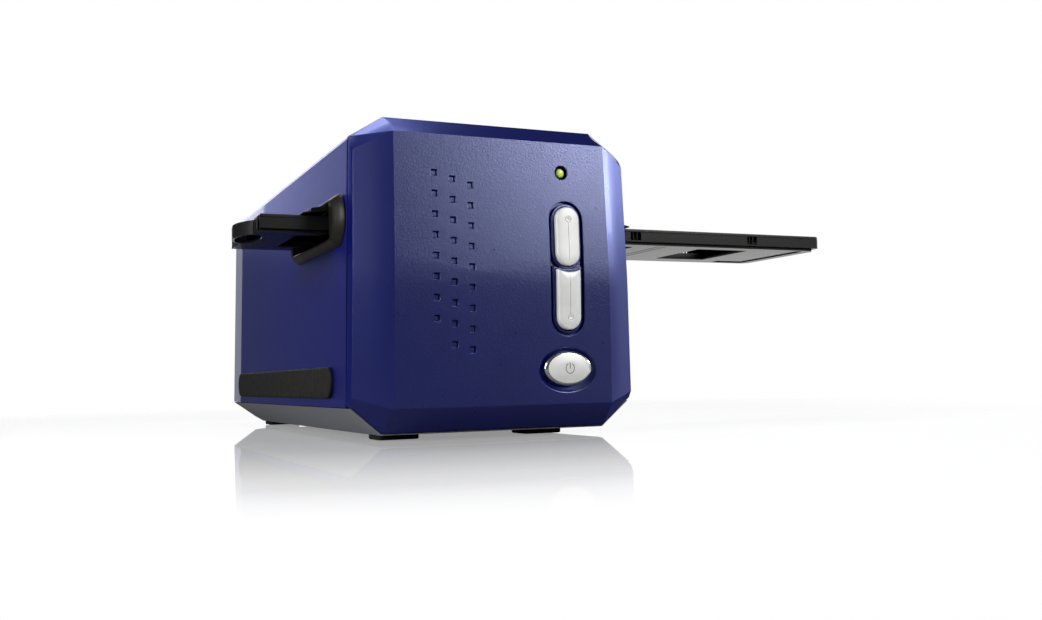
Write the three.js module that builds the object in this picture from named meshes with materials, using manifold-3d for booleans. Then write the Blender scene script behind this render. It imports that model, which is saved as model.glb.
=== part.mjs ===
// Desktop scanner for mounted 35 mm slides, with its slide holder pushed through the side slots.
// Millimetres, +Z up. The front faces -Y, and the holder slides along X.
import * as THREE from 'three';
import { ConvexGeometry } from 'three/addons/geometries/ConvexGeometry.js';
import { mergeVertices } from 'three/addons/utils/BufferGeometryUtils.js';
import Module from 'manifold-3d';

const wasm = await Module();
wasm.setup();

// Clearances
const seat = 0.15;
const runningGap = 0.3;
const partingGap = 0.3;
const overrun = 1;

// Body section, seen from the front
const halfWidthBottom = 57.4;
const sideLean = 1.8;
const topCutX = 12.6;
const topCutZ = 7.8;
const bottomCutX = 12.1;
const sideSeamZ = 12.3;
const trayBottomZ = 1.8;
const rimThickness = 0.8;
const coverWall = 2.2;
const trayWall = 2.2;

// Body along its length
const shoulderStep = 0.5;
const shoulderCornerRise = 2.4;
const facetDepth = 7.5;
const facetRim = 1.9;
const topFacetDepth = 11;
const bottomFacetDepth = 8.6;
const faceBow = 3.8;
const bezelEndY = 12.8;
const faceInsetX = 13.4;
const faceLean = 1.3;
const faceDrop = 7.7;
const faceBottomZ = 11.6;
const frontWall = 3;
const bodyDepth = 272;
const rearCoverLength = 44;
const rearFacetLength = 14;
const rearTaper = 1.6;
const rearWall = 2.4;
const rearFloorZ = 6;

// Power button in its oval dish
const powerShiftX = -0.4;
const powerZ = 25;
const dishHalfX = 11.8;
const dishHalfZ = 8.3;
const dishDrop = 0.6;
const powerHalfX = 9.25;
const powerHalfZ = 5.95;

// Status lamp
const lampShiftX = -1.2;
const lampDrop = 11.6;
const lampHoleRadius = 2.6;
const lampRadius = 1.7;
const lampTipRadius = 1.1;
const lampCollarRadius = 3.6;
const lampCollarDepth = 1.2;
const lampProud = 0.5;

// Scan buttons in their capsule
const capsuleEdgeGap = 18.6;
const capsuleAbovePower = 12.4;
const capsuleBelowLamp = 11.2;
const capsuleWidth = 14;
const capsuleDepth = 1.6;
const buttonWidth = 9.5;
const buttonProud = 2.1;
const buttonCrown = 0.8;
const buttonTravel = 1;
const buttonGap = 0.45;
const buttonRim = 1;
const buttonSplitRise = 0.2;
const buttonSplitGap = 1.4;
const lowerButtonDip = 1;
const flangeLip = 1.3;
const flangeThickness = 1.1;
const stemRadius = 1.8;

// Circuit boards and the switches behind the buttons
const boardThickness = 1.6;
const buttonBoardY = 10.4;
const buttonBoardMargin = 9;
const bossRadius = 2.5;
const switchSize = 6;
const switchHeight = 2.2;
const plungerRadius = 1.2;
const plungerHeight = 0.9;

// Square dimples on the front, in staggered columns
const dimpleSize = 2.4;
const dimpleDepth = 0.7;
const dimplePitch = 7.6;
const dimpleColumnPitch = 6.95;
const dimpleEdgeGap = 16.5;
const dimpleDrop = 14.5;
const dimpleStagger = 1.95;
const dimpleCounts = [8, 9, 9];

// Feet: the front right one stands further in than the others
const footWidth = 15.8;
const footLength = 14;
const footRecess = 0.5;
const footInsetX = 8.3;
const frontFootShift = 15.2;
const frontFootGap = 0.4;
const rearFootInset = 10;

// Rubber grip pads low on the sides
const padNearY = 35;
const padRearInset = 6;
const padBulge = 5;
const padBottomZ = 15.5;
const padTopZ = 27.5;
const padThickness = 1.3;
const padBevel = 0.6;

// Side slots with their frames and dust doors
const slotNearY = 24;
const slotLength = 61;
const slotHeight = 13.2;
const slotFrameProud = 3.5;
const slotFrameLip = 0.9;
const slotFrameBorder = 3.3;
const slotFrameBulge = 7;
const slotLipBulge = 4.4;
const slotCollarWall = 1.6;
const slotCollarDepth = 4.4;
const doorHingeInset = 1.6;
const doorBarrelRadius = 1.3;
const doorPinRadius = 0.7;
const doorPinReach = 1.1;
const doorLength = 11.6;
const doorThickness = 1.8;
const doorTipLength = 3.6;
const doorTipThickness = 0.5;
const doorEndGap = 0.6;

// Slide holder
const holderSideGap = 2;
const holderRise = 2;
const holderHeight = 6.6;
const holderLeftX = -85;
const holderRightX = 171.5;
const holderWall = 1.6;
const holderRoof = 1.4;
const holderCornerRadius = 2.5;
const holderBaseInset = 1.5;
const holderBaseThickness = 1;
const holderBaseCornerRadius = 4;
const holderRailHeight = 2.6;
const holderRailWidth = 2.4;
const windowPitch = 60;
const windowCount = 4;
const windowWidth = 26;
const windowNearBorder = 8.5;
const windowFarBorder = 12.5;
const catchWidth = 5.2;
const catchHeight = 3.4;
const catchOffsetX = 10;
const baseGrooveOffsetX = 23.7;
const baseGrooveWidth = 0.8;
const baseGrooveDepth = 0.4;
const gripPocketLength = 18;
const tabHeight = 5.4;
const tabReach = 5.8;
const tabLedge = 0.9;
const tabShiftY = 4.5;
const tabHalfLength = 15;
const fingerHalfX = 4.4;
const fingerHalfY = 12.4;

// Film guide that the holder runs in
const guideFloor = 3;
const guideWall = 2.4;
const guideSideGap = 0.7;
const guideEndInset = 6.9;
const guideWallRise = 2.4;
const guideLegSize = 6;
const guideLegInset = 3.5;
const gateMargin = 2.5;

// Light source above the film
const lampHouseHalfX = 24;
const lampHouseInsetY = 3.1;
const lampHouseWall = 2;
const lampHouseFlange = 2;
const lampHouseHeight = 28.55;
const lampRoofGap = 2;
const lampBoardGap = 1;
const diffuserThickness = 1.5;
const emitterWidth = 30;
const emitterLength = 5;
const emitterHeight = 1.6;

// Sheet metal chassis and guide rods
const chassisZ = 8;
const sheet = 1.6;
const chassisSideInset = 9.2;
const chassisFrontGap = 2.7;
const chassisRearInset = 38;
const uprightRise = 12;
const standoffRadius = 3.5;
const standoffInsetX = 12.2;
const standoffFrontInset = 28;
const standoffRearInset = 34;
const rodRadius = 3;
const rodInsetX = 13.7;
const rodRise = 6;
const rodEndReach = 1.4;

// Optical carriage
const opticsX = 3.5;
const carriageMotorGap = 3;
const carriageWall = 2;
const carriageRodGap = 5;
const carriageNose = 10.5;
const carriageEndGap = 2.4;
const carriageGuideGap = 8.1;
const scanLead = 1;
const bearingHalf = 6.4;
const bearingEndInset = 7;
const opticalRise = 17;
const opticalHeadroom = 9;
const mirrorHalf = 10.5;
const mirrorSideInset = 5;
const mirrorThickness = 2;
const lensToSensor = 66;
const lensRadius = 9;
const lensFlangeRadius = 11;
const lensReach = 12;
const lensBore = 7;
const lensGlassRadius = 6.6;
const lensGlassThickness = 4;
const lensEdgeThickness = 1.4;
const sensorBoardInset = 8;
const sensorSideInset = 7;
const sensorHeight = 8;
const sensorDepth = 3;

// Rack drive
const gearModule = 0.8;
const smallGearTeeth = 20;
const largeGearTeeth = 35;
const pinionTeeth = 10;
const rackEndTeeth = 4;
const pressureAngle = 20;
const toothSlack = 0.16;
const gearZ = 27;
const gearFace = 4;
const gearHubRadius = 5;
const gearSideGap = 1;
const gearBearingInset = 35;
const gearBearingReach = 55;
const rackRodOffset = 2;
const axleRadius = 2;
const axleBore = 2.3;
const axleEarHalf = 8;
const motorRadius = 10;
const motorLength = 17;
const motorShaftRadius = 1.5;
const motorShaftDepth = 7;
const cradleLength = 12;
const cradleHalfWidth = 8;
const cradleTopZ = 20;

// Main board and its sockets
const mainBoardZ = 15;
const mainBoardSideInset = 2.2;
const mainBoardMotorGap = 2;
const mainBoardGuideGap = 25.9;
const mainBoardRearInset = 8;
const boardPillarRadius = 3;
const boardPillarInset = 6;
const chipSize = 14;
const chipHeight = 1.6;
const chipShiftX = 8;
const chipRearInset = 54;
const socketHeight = 11;
const socketLength = 15;
const usbInsetX = 18;
const usbWidth = 12;
const usbCavityWidth = 8.6;
const usbCavityHeight = 7.8;
const usbCavityDepth = 9;
const usbTongueWidth = 5.6;
const usbTongueHeight = 3.2;
const jackPitchX = 24;
const jackWidth = 9;
const jackBore = 3.2;
const jackPinRadius = 1;
const jackDepth = 9;

// Screws from below
const screwRadius = 1.5;
const screwHeadRadius = 2.8;
const screwHeadHeight = 1.6;
const screwRecess = 2.2;

// Vents in the rear cover
const ventCount = 7;
const ventWidth = 2.4;
const ventHeight = 22;
const ventPitch = 7;
const ventBottomZ = 70;

// Heights, from the drive up to the roof
const chassisTopZ = chassisZ + sheet;
const carriageBottomZ = gearZ + motorRadius + carriageMotorGap;
const rodZ = carriageBottomZ + rodRise;
const uprightTopZ = rodZ + uprightRise;
const opticalZ = carriageBottomZ + opticalRise;
const carriageSideTopZ = opticalZ + opticalHeadroom;
const guideFloorBottomZ = carriageSideTopZ + carriageGuideGap;
const guideFloorTopZ = guideFloorBottomZ + guideFloor;
const holderBottomZ = guideFloorTopZ + runningGap;
const holderTopZ = holderBottomZ + holderHeight;
const coverBottomZ = holderBottomZ + holderBaseThickness + seat;
const slotBottomZ = holderBottomZ - holderRise;
const slotTopZ = slotBottomZ + slotHeight;
const guideWallTopZ = holderTopZ + guideWallRise;
const lampHouseBottomZ = guideWallTopZ + seat;
const lampHouseTopZ = lampHouseBottomZ + lampHouseHeight;
const topZ = lampHouseTopZ + lampRoofGap + coverWall;

// Body places worked out from the sizes above
const halfWidthTop = halfWidthBottom - sideLean;
const faceHalfBottom = halfWidthBottom - faceInsetX;
const faceHalfTop = faceHalfBottom - faceLean;
const faceTopZ = topZ - faceDrop;
const bezelBottomZ = trayBottomZ + rimThickness;
const trayTopZ = sideSeamZ - partingGap;
const coverNearY = bezelEndY + partingGap;
const rearSeamY = bodyDepth - rearCoverLength;
const rearShoulderY = bodyDepth - rearFacetLength;
const padFarY = rearSeamY - padRearInset;
const rightFeetX = halfWidthBottom - bottomCutX - footInsetX;
const frontFeetY = coverNearY + frontFootGap + footLength / 2;
const rearFeetY = rearSeamY - rearFootInset;

// Places on the front
const capsuleX = faceHalfBottom - capsuleEdgeGap;
const powerX = capsuleX + powerShiftX;
const lampX = capsuleX + lampShiftX;
const lampZ = faceTopZ - lampDrop;
const capsuleBottomZ = powerZ + capsuleAbovePower;
const capsuleTopZ = lampZ - capsuleBelowLamp;
const capsuleMargin = (capsuleWidth - buttonWidth) / 2;
const buttonSplitZ = (capsuleBottomZ + capsuleTopZ) / 2 + buttonSplitRise;
const upperButtonBottomZ = buttonSplitZ + buttonSplitGap / 2;
const upperButtonTopZ = capsuleTopZ - capsuleMargin;
const lowerButtonBottomZ = capsuleBottomZ + capsuleMargin;
const lowerButtonTopZ = buttonSplitZ - buttonSplitGap / 2;

// Places along the holder's way
const slotFrameBackX = halfWidthAt(slotBottomZ - slotFrameBorder) + seat;
const slotFrameFaceX = slotFrameBackX + slotFrameProud;
const slotCentreY = slotNearY + slotLength / 2;
const holderNearY = slotNearY + holderSideGap;
const holderFarY = slotNearY + slotLength - holderSideGap;
const baseNearY = holderNearY + holderBaseInset;
const baseFarY = holderFarY - holderBaseInset;
const tabCentreY = slotCentreY - tabShiftY;
const windowNearY = holderNearY + windowNearBorder;
const windowFarY = holderFarY - windowFarBorder;
const firstWindowX = opticsX - windowPitch;
const doorHingeX = slotFrameFaceX - doorHingeInset;
const doorHingeZ = slotTopZ - doorBarrelRadius - runningGap;
const doorRestAngle = Math.asin((doorHingeZ - doorThickness / 2 - runningGap - holderTopZ) / doorLength);
const guideNearY = holderNearY - guideSideGap - guideWall;
const guideFarY = holderFarY + guideSideGap + guideWall;
const guideHalfLength = halfWidthBottom - guideEndInset;

// Places of the chassis, the carriage and the drive
const chassisHalfWidth = halfWidthBottom - chassisSideInset;
const chassisNearY = coverNearY + trayWall + chassisFrontGap;
const chassisFarY = bodyDepth - chassisRearInset;
const rodSpacing = 2 * (chassisHalfWidth - rodInsetX - opticsX);
const scanStartY = windowNearY - scanLead;
const carriageTravel = windowFarY - windowNearY + 2 * scanLead;
const carriageHalfWidth = rodSpacing / 2 - carriageRodGap;
const carriageNearY = scanStartY - carriageNose;
const carriageFarY = chassisFarY - sheet - carriageEndGap - carriageTravel;
const sensorBoardY = carriageFarY - sensorBoardInset;
const lensWallY = sensorBoardY - lensToSensor;
const bearingFarY = carriageFarY - bearingEndInset;
const gearY = bearingFarY - gearBearingInset;
const bearingNearY = gearY - gearBearingReach;
const smallGearRadius = gearModule * smallGearTeeth / 2;
const largeGearRadius = gearModule * largeGearTeeth / 2;
const pinionRadius = gearModule * pinionTeeth / 2;
const rackPitchZ = gearZ + smallGearRadius;
const rackX = opticsX + rodSpacing / 2 + rackRodOffset;
const largeGearX = rackX + gearFace + gearSideGap;
const earX = largeGearX + gearFace + gearSideGap;
const motorY = gearY + largeGearRadius + pinionRadius;
const motorEndX = rackX - gearSideGap / 2;

// Places of the main board and what it carries
const mainBoardX = mainBoardSideInset - chassisHalfWidth;
const mainBoardFarX = motorEndX - motorLength - mainBoardMotorGap;
const mainBoardNearY = guideFarY + mainBoardGuideGap;
const mainBoardFarY = bodyDepth - mainBoardRearInset;
const usbX = mainBoardX + usbInsetX;
const jackX = usbX + jackPitchX;
const socketBottomZ = mainBoardZ + boardThickness + seat;

const finishes = {
  bluePlastic: { color: 0x2a2f6e, roughness: 0.42, metalness: 0.1 },
  greyPlastic: { color: 0x6f7276, roughness: 0.5, metalness: 0.1 },
  blackPlastic: { color: 0x1d1d1f, roughness: 0.5, metalness: 0 },
  rubber: { color: 0x161616, roughness: 0.8, metalness: 0 },
  silver: { color: 0xcfd0cc, roughness: 0.35, metalness: 0.8 },
  lampGreen: { color: 0xb7d932, roughness: 0.2, metalness: 0 },
  steel: { color: 0x9a9da0, roughness: 0.35, metalness: 0.9 },
  board: { color: 0x1c5a35, roughness: 0.5, metalness: 0 },
  glass: { color: 0xcfe6e8, roughness: 0.05, metalness: 0 },
  mirror: { color: 0xe8ecef, roughness: 0.05, metalness: 1 },
  nylon: { color: 0xe9e6dc, roughness: 0.5, metalness: 0 },
};

// The origin is below the middle of the whole scanner with its holder, on the table.
const scanner = new THREE.Group();
const assembly = new THREE.Group();
scanner.add(assembly);

function toSolid(geometry) {
  const bare = geometry.index ? geometry.toNonIndexed() : geometry.clone();
  bare.deleteAttribute('normal');
  bare.deleteAttribute('uv');
  const merged = mergeVertices(bare);
  return new wasm.Manifold(new wasm.Mesh({
    numProp: 3,
    vertProperties: new Float32Array(merged.attributes.position.array),
    triVerts: new Uint32Array(merged.index.array),
  }));
}

function toGeometry(body) {
  const mesh = body.getMesh();
  const geometry = new THREE.BufferGeometry();
  geometry.setAttribute('position', new THREE.BufferAttribute(new Float32Array(mesh.vertProperties), 3));
  geometry.setIndex(new THREE.BufferAttribute(new Uint32Array(mesh.triVerts), 1));
  geometry.computeVertexNormals();
  return geometry;
}

function join(first, ...others) {
  return others.reduce((body, other) => body.add(other), first);
}

function cut(first, ...tools) {
  return tools.reduce((body, tool) => body.subtract(tool), first);
}

function piece(name, body, finish) {
  const mesh = new THREE.Mesh(toGeometry(body), new THREE.MeshStandardMaterial(finishes[finish]));
  mesh.name = name;
  assembly.add(mesh);
}

function block(xa, xb, ya, yb, za, zb) {
  const geometry = new THREE.BoxGeometry(Math.abs(xb - xa), Math.abs(yb - ya), Math.abs(zb - za));
  geometry.translate((xa + xb) / 2, (ya + yb) / 2, (za + zb) / 2);
  return toSolid(geometry);
}

// A prism along one axis. Its outline is (y, z) along x, (x, z) along y and (x, y) along z.
function prism(axis, outline, a, b) {
  const low = Math.min(a, b);
  const high = Math.max(a, b);
  const shape = new THREE.Shape(outline.map(([u, v]) => new THREE.Vector2(u, v)));
  const geometry = new THREE.ExtrudeGeometry(shape, { depth: high - low, bevelEnabled: false });
  if (axis === 'x') {
    geometry.applyMatrix4(new THREE.Matrix4().makeBasis(
      new THREE.Vector3(0, 1, 0),
      new THREE.Vector3(0, 0, 1),
      new THREE.Vector3(1, 0, 0),
    ));
    geometry.translate(low, 0, 0);
  } else if (axis === 'y') {
    geometry.rotateX(Math.PI / 2);
    geometry.translate(0, high, 0);
  } else {
    geometry.translate(0, 0, low);
  }
  return toSolid(geometry);
}

// The convex body round some points.
function convex(points) {
  return toSolid(new ConvexGeometry(points.map((point) => new THREE.Vector3(...point))));
}

// The convex body round several outlines, each lying across the axis at its own place.
function hull(axis, ...sections) {
  return convex(sections.flatMap(([at, outline]) => outline.map(([u, v]) => {
    if (axis === 'x') return [at, u, v];
    return axis === 'y' ? [u, at, v] : [u, v, at];
  })));
}

// Points of an elliptical arc with its ends, angles in degrees.
function arc(cu, cv, ru, rv, fromAngle, toAngle, steps) {
  return Array.from({ length: steps + 1 }, (_, i) => {
    const angle = THREE.MathUtils.degToRad(fromAngle + (toAngle - fromAngle) * i / steps);
    return [cu + ru * Math.cos(angle), cv + rv * Math.sin(angle)];
  });
}

function ellipse(cu, cv, ru, rv, sides = 24) {
  return arc(cu, cv, ru, rv, 0, 360, sides).slice(0, sides);
}

function disc(axis, cu, cv, radius, from, to, sides = 20) {
  return prism(axis, ellipse(cu, cv, radius, radius, sides), from, to);
}

function stadium(cu, bottom, top, width, steps = 10) {
  const r = width / 2;
  return [...arc(cu, bottom + r, r, r, 180, 360, steps), ...arc(cu, top - r, r, r, 0, 180, steps)];
}

// A rectangle whose two short ends bow outwards, round a centre.
function bowedRectangle(cu, cv, halfU, halfV, bulge, steps = 8) {
  const radius = (halfV * halfV + bulge * bulge) / (2 * bulge);
  const reach = THREE.MathUtils.radToDeg(Math.asin(halfV / radius));
  const end = cu + halfU + bulge - radius;
  const start = cu - halfU - bulge + radius;
  return [
    ...arc(end, cv, radius, radius, -reach, reach, steps),
    ...arc(start, cv, radius, radius, 180 - reach, 180 + reach, steps),
  ];
}

// Half the body's width at a height: the sides lean in a little towards the top.
function halfWidthAt(z) {
  const rise = (z - sideSeamZ) / (topZ - topCutZ - sideSeamZ);
  return halfWidthBottom + (halfWidthTop - halfWidthBottom) * rise;
}

// The body's outline from a height up to the roof, drawn in by an inset.
function upperOutline(inset, bottom, cornerRise = 0) {
  const top = topZ - inset;
  const shoulder = top - topCutZ - cornerRise;
  const low = halfWidthAt(bottom) - inset;
  const high = halfWidthTop - inset;
  return [
    [-low, bottom], [low, bottom], [high, shoulder],
    [high - topCutX, top], [topCutX - high, top], [-high, shoulder],
  ];
}

// The eight-sided outline of the front cover.
function frontOutline(inset, cornerRise = 0) {
  const bottom = bezelBottomZ + inset;
  const knee = bottom + sideSeamZ - trayBottomZ + cornerRise;
  const half = halfWidthAt(knee) - inset - bottomCutX;
  const [leftKnee, ...rest] = upperOutline(inset, knee, cornerRise);
  return [[-half, bottom], [half, bottom], ...rest, leftKnee];
}

function faceOutline(inset, bottom = faceBottomZ + inset) {
  return [
    [inset - faceHalfBottom, bottom], [faceHalfBottom - inset, bottom],
    [faceHalfTop - inset, faceTopZ - inset], [inset - faceHalfTop, faceTopZ - inset],
  ];
}

// How far the bowed face stands out in front of its top and bottom edges at a height.
function bowAt(z) {
  const share = (2 * z - faceTopZ - faceBottomZ) / (faceTopZ - faceBottomZ);
  return faceBow * Math.max(0, 1 - share * share);
}

function bowed(y, outline) {
  return outline.map(([x, z]) => [x, y - bowAt(z), z]);
}

function mirrored([x, z]) {
  return [[-x, z], [x, z]];
}

// Points up both edges of a bowed face, between a low and a high corner.
function bowedEdges(y, low, high, steps = 8) {
  return bowed(y, Array.from({ length: steps + 1 }, (_, i) => {
    const share = i / steps;
    return mirrored([low[0] + (high[0] - low[0]) * share, low[1] + (high[1] - low[1]) * share]);
  }).flat());
}

// The space behind the bowed face, from a depth on.
function behindFace(depth) {
  const low = [faceHalfBottom, faceBottomZ];
  const high = [faceHalfBottom, faceTopZ];
  const back = [...mirrored(low), ...mirrored(high)].map(([x, z]) => [x, bezelEndY, z]);
  return convex([...bowedEdges(depth, low, high), ...back]);
}

// Where a flange lies behind the bowed wall, from one height to another.
function flangeYAt(from, to) {
  return frontWall + seat - Math.min(bowAt(from), bowAt(to));
}

// The front cover's bowed and faceted body, drawn in by a wall.
function frontBody(wall, faceY, clearance, endY) {
  const [, foot, knee, shoulder] = frontOutline(wall + shoulderStep, shoulderCornerRise);
  const [, rimFoot, rimKnee, rimShoulder, apex] = frontOutline(wall);
  const [, faceLow, faceHigh] = faceOutline(wall);
  const sideY = facetDepth + clearance;
  const footY = bottomFacetDepth + clearance;
  const across = (y, outline) => outline.map(([x, z]) => [x, y, z]);
  return convex([
    ...bowedEdges(faceY, faceLow, faceHigh),
    ...bowedEdges(sideY, knee, shoulder),
    ...bowedEdges(sideY + facetRim, rimKnee, rimShoulder),
    ...across(footY, mirrored(foot)),
    ...across(footY + facetRim, mirrored(rimFoot)),
    ...across(topFacetDepth + clearance, mirrored(apex)),
    ...across(endY, frontOutline(wall)),
  ]);
}

// The tray's outline: a flat bottom with sides that slope out to the seam.
function trayOutline(inset, top) {
  const bottom = trayBottomZ + inset;
  const low = halfWidthBottom - inset;
  return [
    [bottomCutX - low, bottom], [low - bottomCutX, bottom],
    [low, trayTopZ], [low, top], [-low, top], [-low, trayTopZ],
  ];
}

function upperButtonOutline(grow) {
  return stadium(capsuleX, upperButtonBottomZ - grow, upperButtonTopZ + grow, buttonWidth + 2 * grow);
}

// The lower button's top edge dips to follow the button above it.
function lowerButtonOutline(grow) {
  const r = buttonWidth / 2 + grow;
  const top = lowerButtonTopZ + grow;
  const dipSteps = 6;
  const dip = Array.from({ length: dipSteps + 1 }, (_, i) => {
    const share = 1 - 2 * i / dipSteps;
    return [capsuleX + r * share, top - lowerButtonDip * (1 - share * share)];
  });
  return [...arc(capsuleX, lowerButtonBottomZ - grow + r, r, r, 180, 360, 10), ...dip];
}

function powerOutline(grow) {
  return ellipse(powerX, powerZ, powerHalfX + grow, powerHalfZ + grow, 32);
}

function screwPlaces() {
  const x = chassisHalfWidth - standoffInsetX;
  const nearY = chassisNearY + standoffFrontInset;
  const farY = chassisFarY - standoffRearInset;
  return [['near_left', -x, nearY], ['near_right', x, nearY], ['far_left', -x, farY], ['far_right', x, farY]];
}

function footPlaces() {
  return [
    ['foot_front_left', -rightFeetX, frontFeetY],
    ['foot_front_right', rightFeetX - frontFootShift, frontFeetY],
    ['foot_rear_left', -rightFeetX, rearFeetY],
    ['foot_rear_right', rightFeetX, rearFeetY],
  ];
}

// A window over each slide's place, through everything between two heights.
function slideWindows(from, to) {
  return Array.from({ length: windowCount }, (_, i) => {
    const x = firstWindowX + i * windowPitch;
    return block(x - windowWidth / 2, x + windowWidth / 2, windowNearY, windowFarY, from, to);
  });
}

function fingerHole(from, to) {
  return prism('z', ellipse(holderLeftX, tabCentreY, fingerHalfX, fingerHalfY), from, to);
}

// Front cover: facets round a bowed face, hollow behind, with the button openings and dimples
function makeFrontCover() {
  const outside = frontBody(0, 0, 0, bezelEndY);
  const inside = frontBody(coverWall, frontWall, seat, bezelEndY + overrun);
  const frontY = -faceBow - overrun;
  const bosses = [capsuleBottomZ, lampZ].map((z) => disc(
    'y', capsuleX + capsuleWidth / 2 + bossRadius, z, bossRadius,
    frontWall / 2 - bowAt(z), buttonBoardY - seat,
  ));
  const moat = cut(
    prism('y', stadium(capsuleX, capsuleBottomZ, capsuleTopZ, capsuleWidth), frontY, frontWall),
    behindFace(capsuleDepth),
    prism('y', upperButtonOutline(buttonGap + buttonRim), frontY - overrun, frontWall),
    prism('y', lowerButtonOutline(buttonGap + buttonRim), frontY - overrun, frontWall),
  );
  const dish = convex([
    ...bowed(-seat, ellipse(powerX, powerZ - dishDrop, dishHalfX + seat, dishHalfZ + seat, 32)),
    ...bowed(capsuleDepth, powerOutline(buttonGap)),
  ]);
  const holes = [
    upperButtonOutline(buttonGap), lowerButtonOutline(buttonGap), powerOutline(buttonGap),
    ellipse(lampX, lampZ, lampHoleRadius, lampHoleRadius),
  ].map((outline) => prism('y', outline, frontY, frontWall + overrun));
  const half = dimpleSize / 2;
  const dimples = dimpleCounts.flatMap((count, column) => Array.from({ length: count }, (_, i) => {
    const x = dimpleEdgeGap - faceHalfBottom + column * dimpleColumnPitch;
    const z = faceTopZ - dimpleDrop - column * dimpleStagger - i * dimplePitch;
    return block(x - half, x + half, frontY, dimpleDepth - bowAt(z), z - half, z + half);
  }));
  const shell = join(cut(outside, inside), ...bosses);
  piece('front_cover', cut(shell, moat, dish, ...holes, ...dimples), 'bluePlastic');
}

// Main cover: roof and sides in one shell, open below, cut for the slot frames
function makeMainCover() {
  const shell = cut(
    prism('y', upperOutline(0, sideSeamZ), coverNearY, rearSeamY - partingGap),
    prism('y', upperOutline(coverWall, sideSeamZ - overrun), coverNearY - overrun, rearSeamY + overrun),
  );
  const collar = slotLength / 2 + slotCollarWall + seat;
  const slots = block(
    -slotFrameFaceX, slotFrameFaceX, slotCentreY - collar, slotCentreY + collar,
    slotBottomZ - slotCollarWall - seat, slotTopZ + slotCollarWall + seat,
  );
  piece('main_cover', cut(shell, slots), 'bluePlastic');
}

// Rear cover: draws in towards the back, with vents above the socket openings
function makeRearCover() {
  const outside = hull('y',
    [rearSeamY, upperOutline(0, sideSeamZ)],
    [rearShoulderY, upperOutline(rearTaper, sideSeamZ)],
    [bodyDepth, faceOutline(0, sideSeamZ)],
  );
  const inside = hull('y',
    [rearSeamY - overrun, upperOutline(coverWall, sideSeamZ - overrun)],
    [rearShoulderY, upperOutline(rearTaper + coverWall, sideSeamZ - overrun)],
    [bodyDepth - rearWall, faceOutline(coverWall, sideSeamZ - overrun)],
  );
  const sockets = [[usbX, usbWidth], [jackX, jackWidth]].map(([x, width]) => block(
    x - width / 2 - runningGap, x + width / 2 + runningGap, rearShoulderY, bodyDepth + overrun,
    socketBottomZ - runningGap, socketBottomZ + socketHeight + runningGap,
  ));
  const vents = Array.from({ length: ventCount }, (_, i) => {
    const x = (i - (ventCount - 1) / 2) * ventPitch;
    return block(x - ventWidth / 2, x + ventWidth / 2, rearShoulderY, bodyDepth + overrun,
      ventBottomZ, ventBottomZ + ventHeight);
  });
  piece('rear_cover', cut(outside, inside, ...sockets, ...vents), 'bluePlastic');
}

// Base tray: sloping sides, a lip under the front cover, bosses for the chassis and recesses for feet
function makeBaseTray() {
  const rearOutline = (inset, top) => [
    [inset - faceHalfBottom, rearFloorZ + inset], [faceHalfBottom - inset, rearFloorZ + inset],
    [faceHalfBottom - inset, top], [inset - faceHalfBottom, top],
  ];
  const outside = hull('y',
    [coverNearY, trayOutline(0, trayTopZ)],
    [rearSeamY, trayOutline(0, trayTopZ)],
    [rearShoulderY, trayOutline(rearTaper, trayTopZ)],
    [bodyDepth, rearOutline(0, trayTopZ)],
  );
  const above = trayTopZ + overrun;
  const inside = hull('y',
    [coverNearY + trayWall, trayOutline(trayWall, above)],
    [rearSeamY, trayOutline(trayWall, above)],
    [rearShoulderY - trayWall, trayOutline(rearTaper + trayWall, above)],
    [bodyDepth - trayWall, rearOutline(trayWall, above)],
  );
  const lip = cut(
    hull('y',
      [bottomFacetDepth, trayOutline(shoulderStep, trayTopZ)],
      [coverNearY, trayOutline(0, trayTopZ)],
    ),
    prism('y', frontOutline(-seat), bottomFacetDepth - overrun, coverNearY - seat),
  );
  const padTop = trayBottomZ + screwRecess + trayWall;
  const bosses = screwPlaces().flatMap(([, x, y]) => [
    disc('z', x, y, standoffRadius, trayBottomZ + trayWall / 2, chassisZ - seat),
    disc('z', x, y, standoffRadius + trayWall, trayBottomZ + trayWall / 2, padTop),
  ]);
  const screwHoles = screwPlaces().flatMap(([, x, y]) => [
    disc('z', x, y, screwRadius + runningGap, 0, chassisZ),
    disc('z', x, y, screwHeadRadius + runningGap, 0, trayBottomZ + screwRecess),
  ]);
  const reach = seat + footWidth / 2;
  const depth = seat + footLength / 2;
  const recesses = footPlaces().map(([, x, y]) => block(
    x - reach, x + reach, y - depth, y + depth, 0, trayBottomZ + footRecess,
  ));
  const tray = join(cut(outside, inside), lip, ...bosses);
  piece('base_tray', cut(tray, ...screwHoles, ...recesses), 'greyPlastic');
}

function makeFeet() {
  for (const [name, x, y] of footPlaces()) {
    const foot = block(
      x - footWidth / 2, x + footWidth / 2, y - footLength / 2, y + footLength / 2,
      0, trayBottomZ + footRecess - seat,
    );
    piece(name, foot, 'rubber');
  }
}

function makeCoverScrews() {
  for (const [place, x, y] of screwPlaces()) {
    const headTopZ = trayBottomZ + screwRecess - seat;
    const screw = join(
      disc('z', x, y, screwHeadRadius, headTopZ - screwHeadHeight, headTopZ),
      disc('z', x, y, screwRadius, headTopZ - seat, chassisTopZ + sheet, 16),
    );
    piece(`base_screw_${place}`, screw, 'steel');
  }
}

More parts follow.
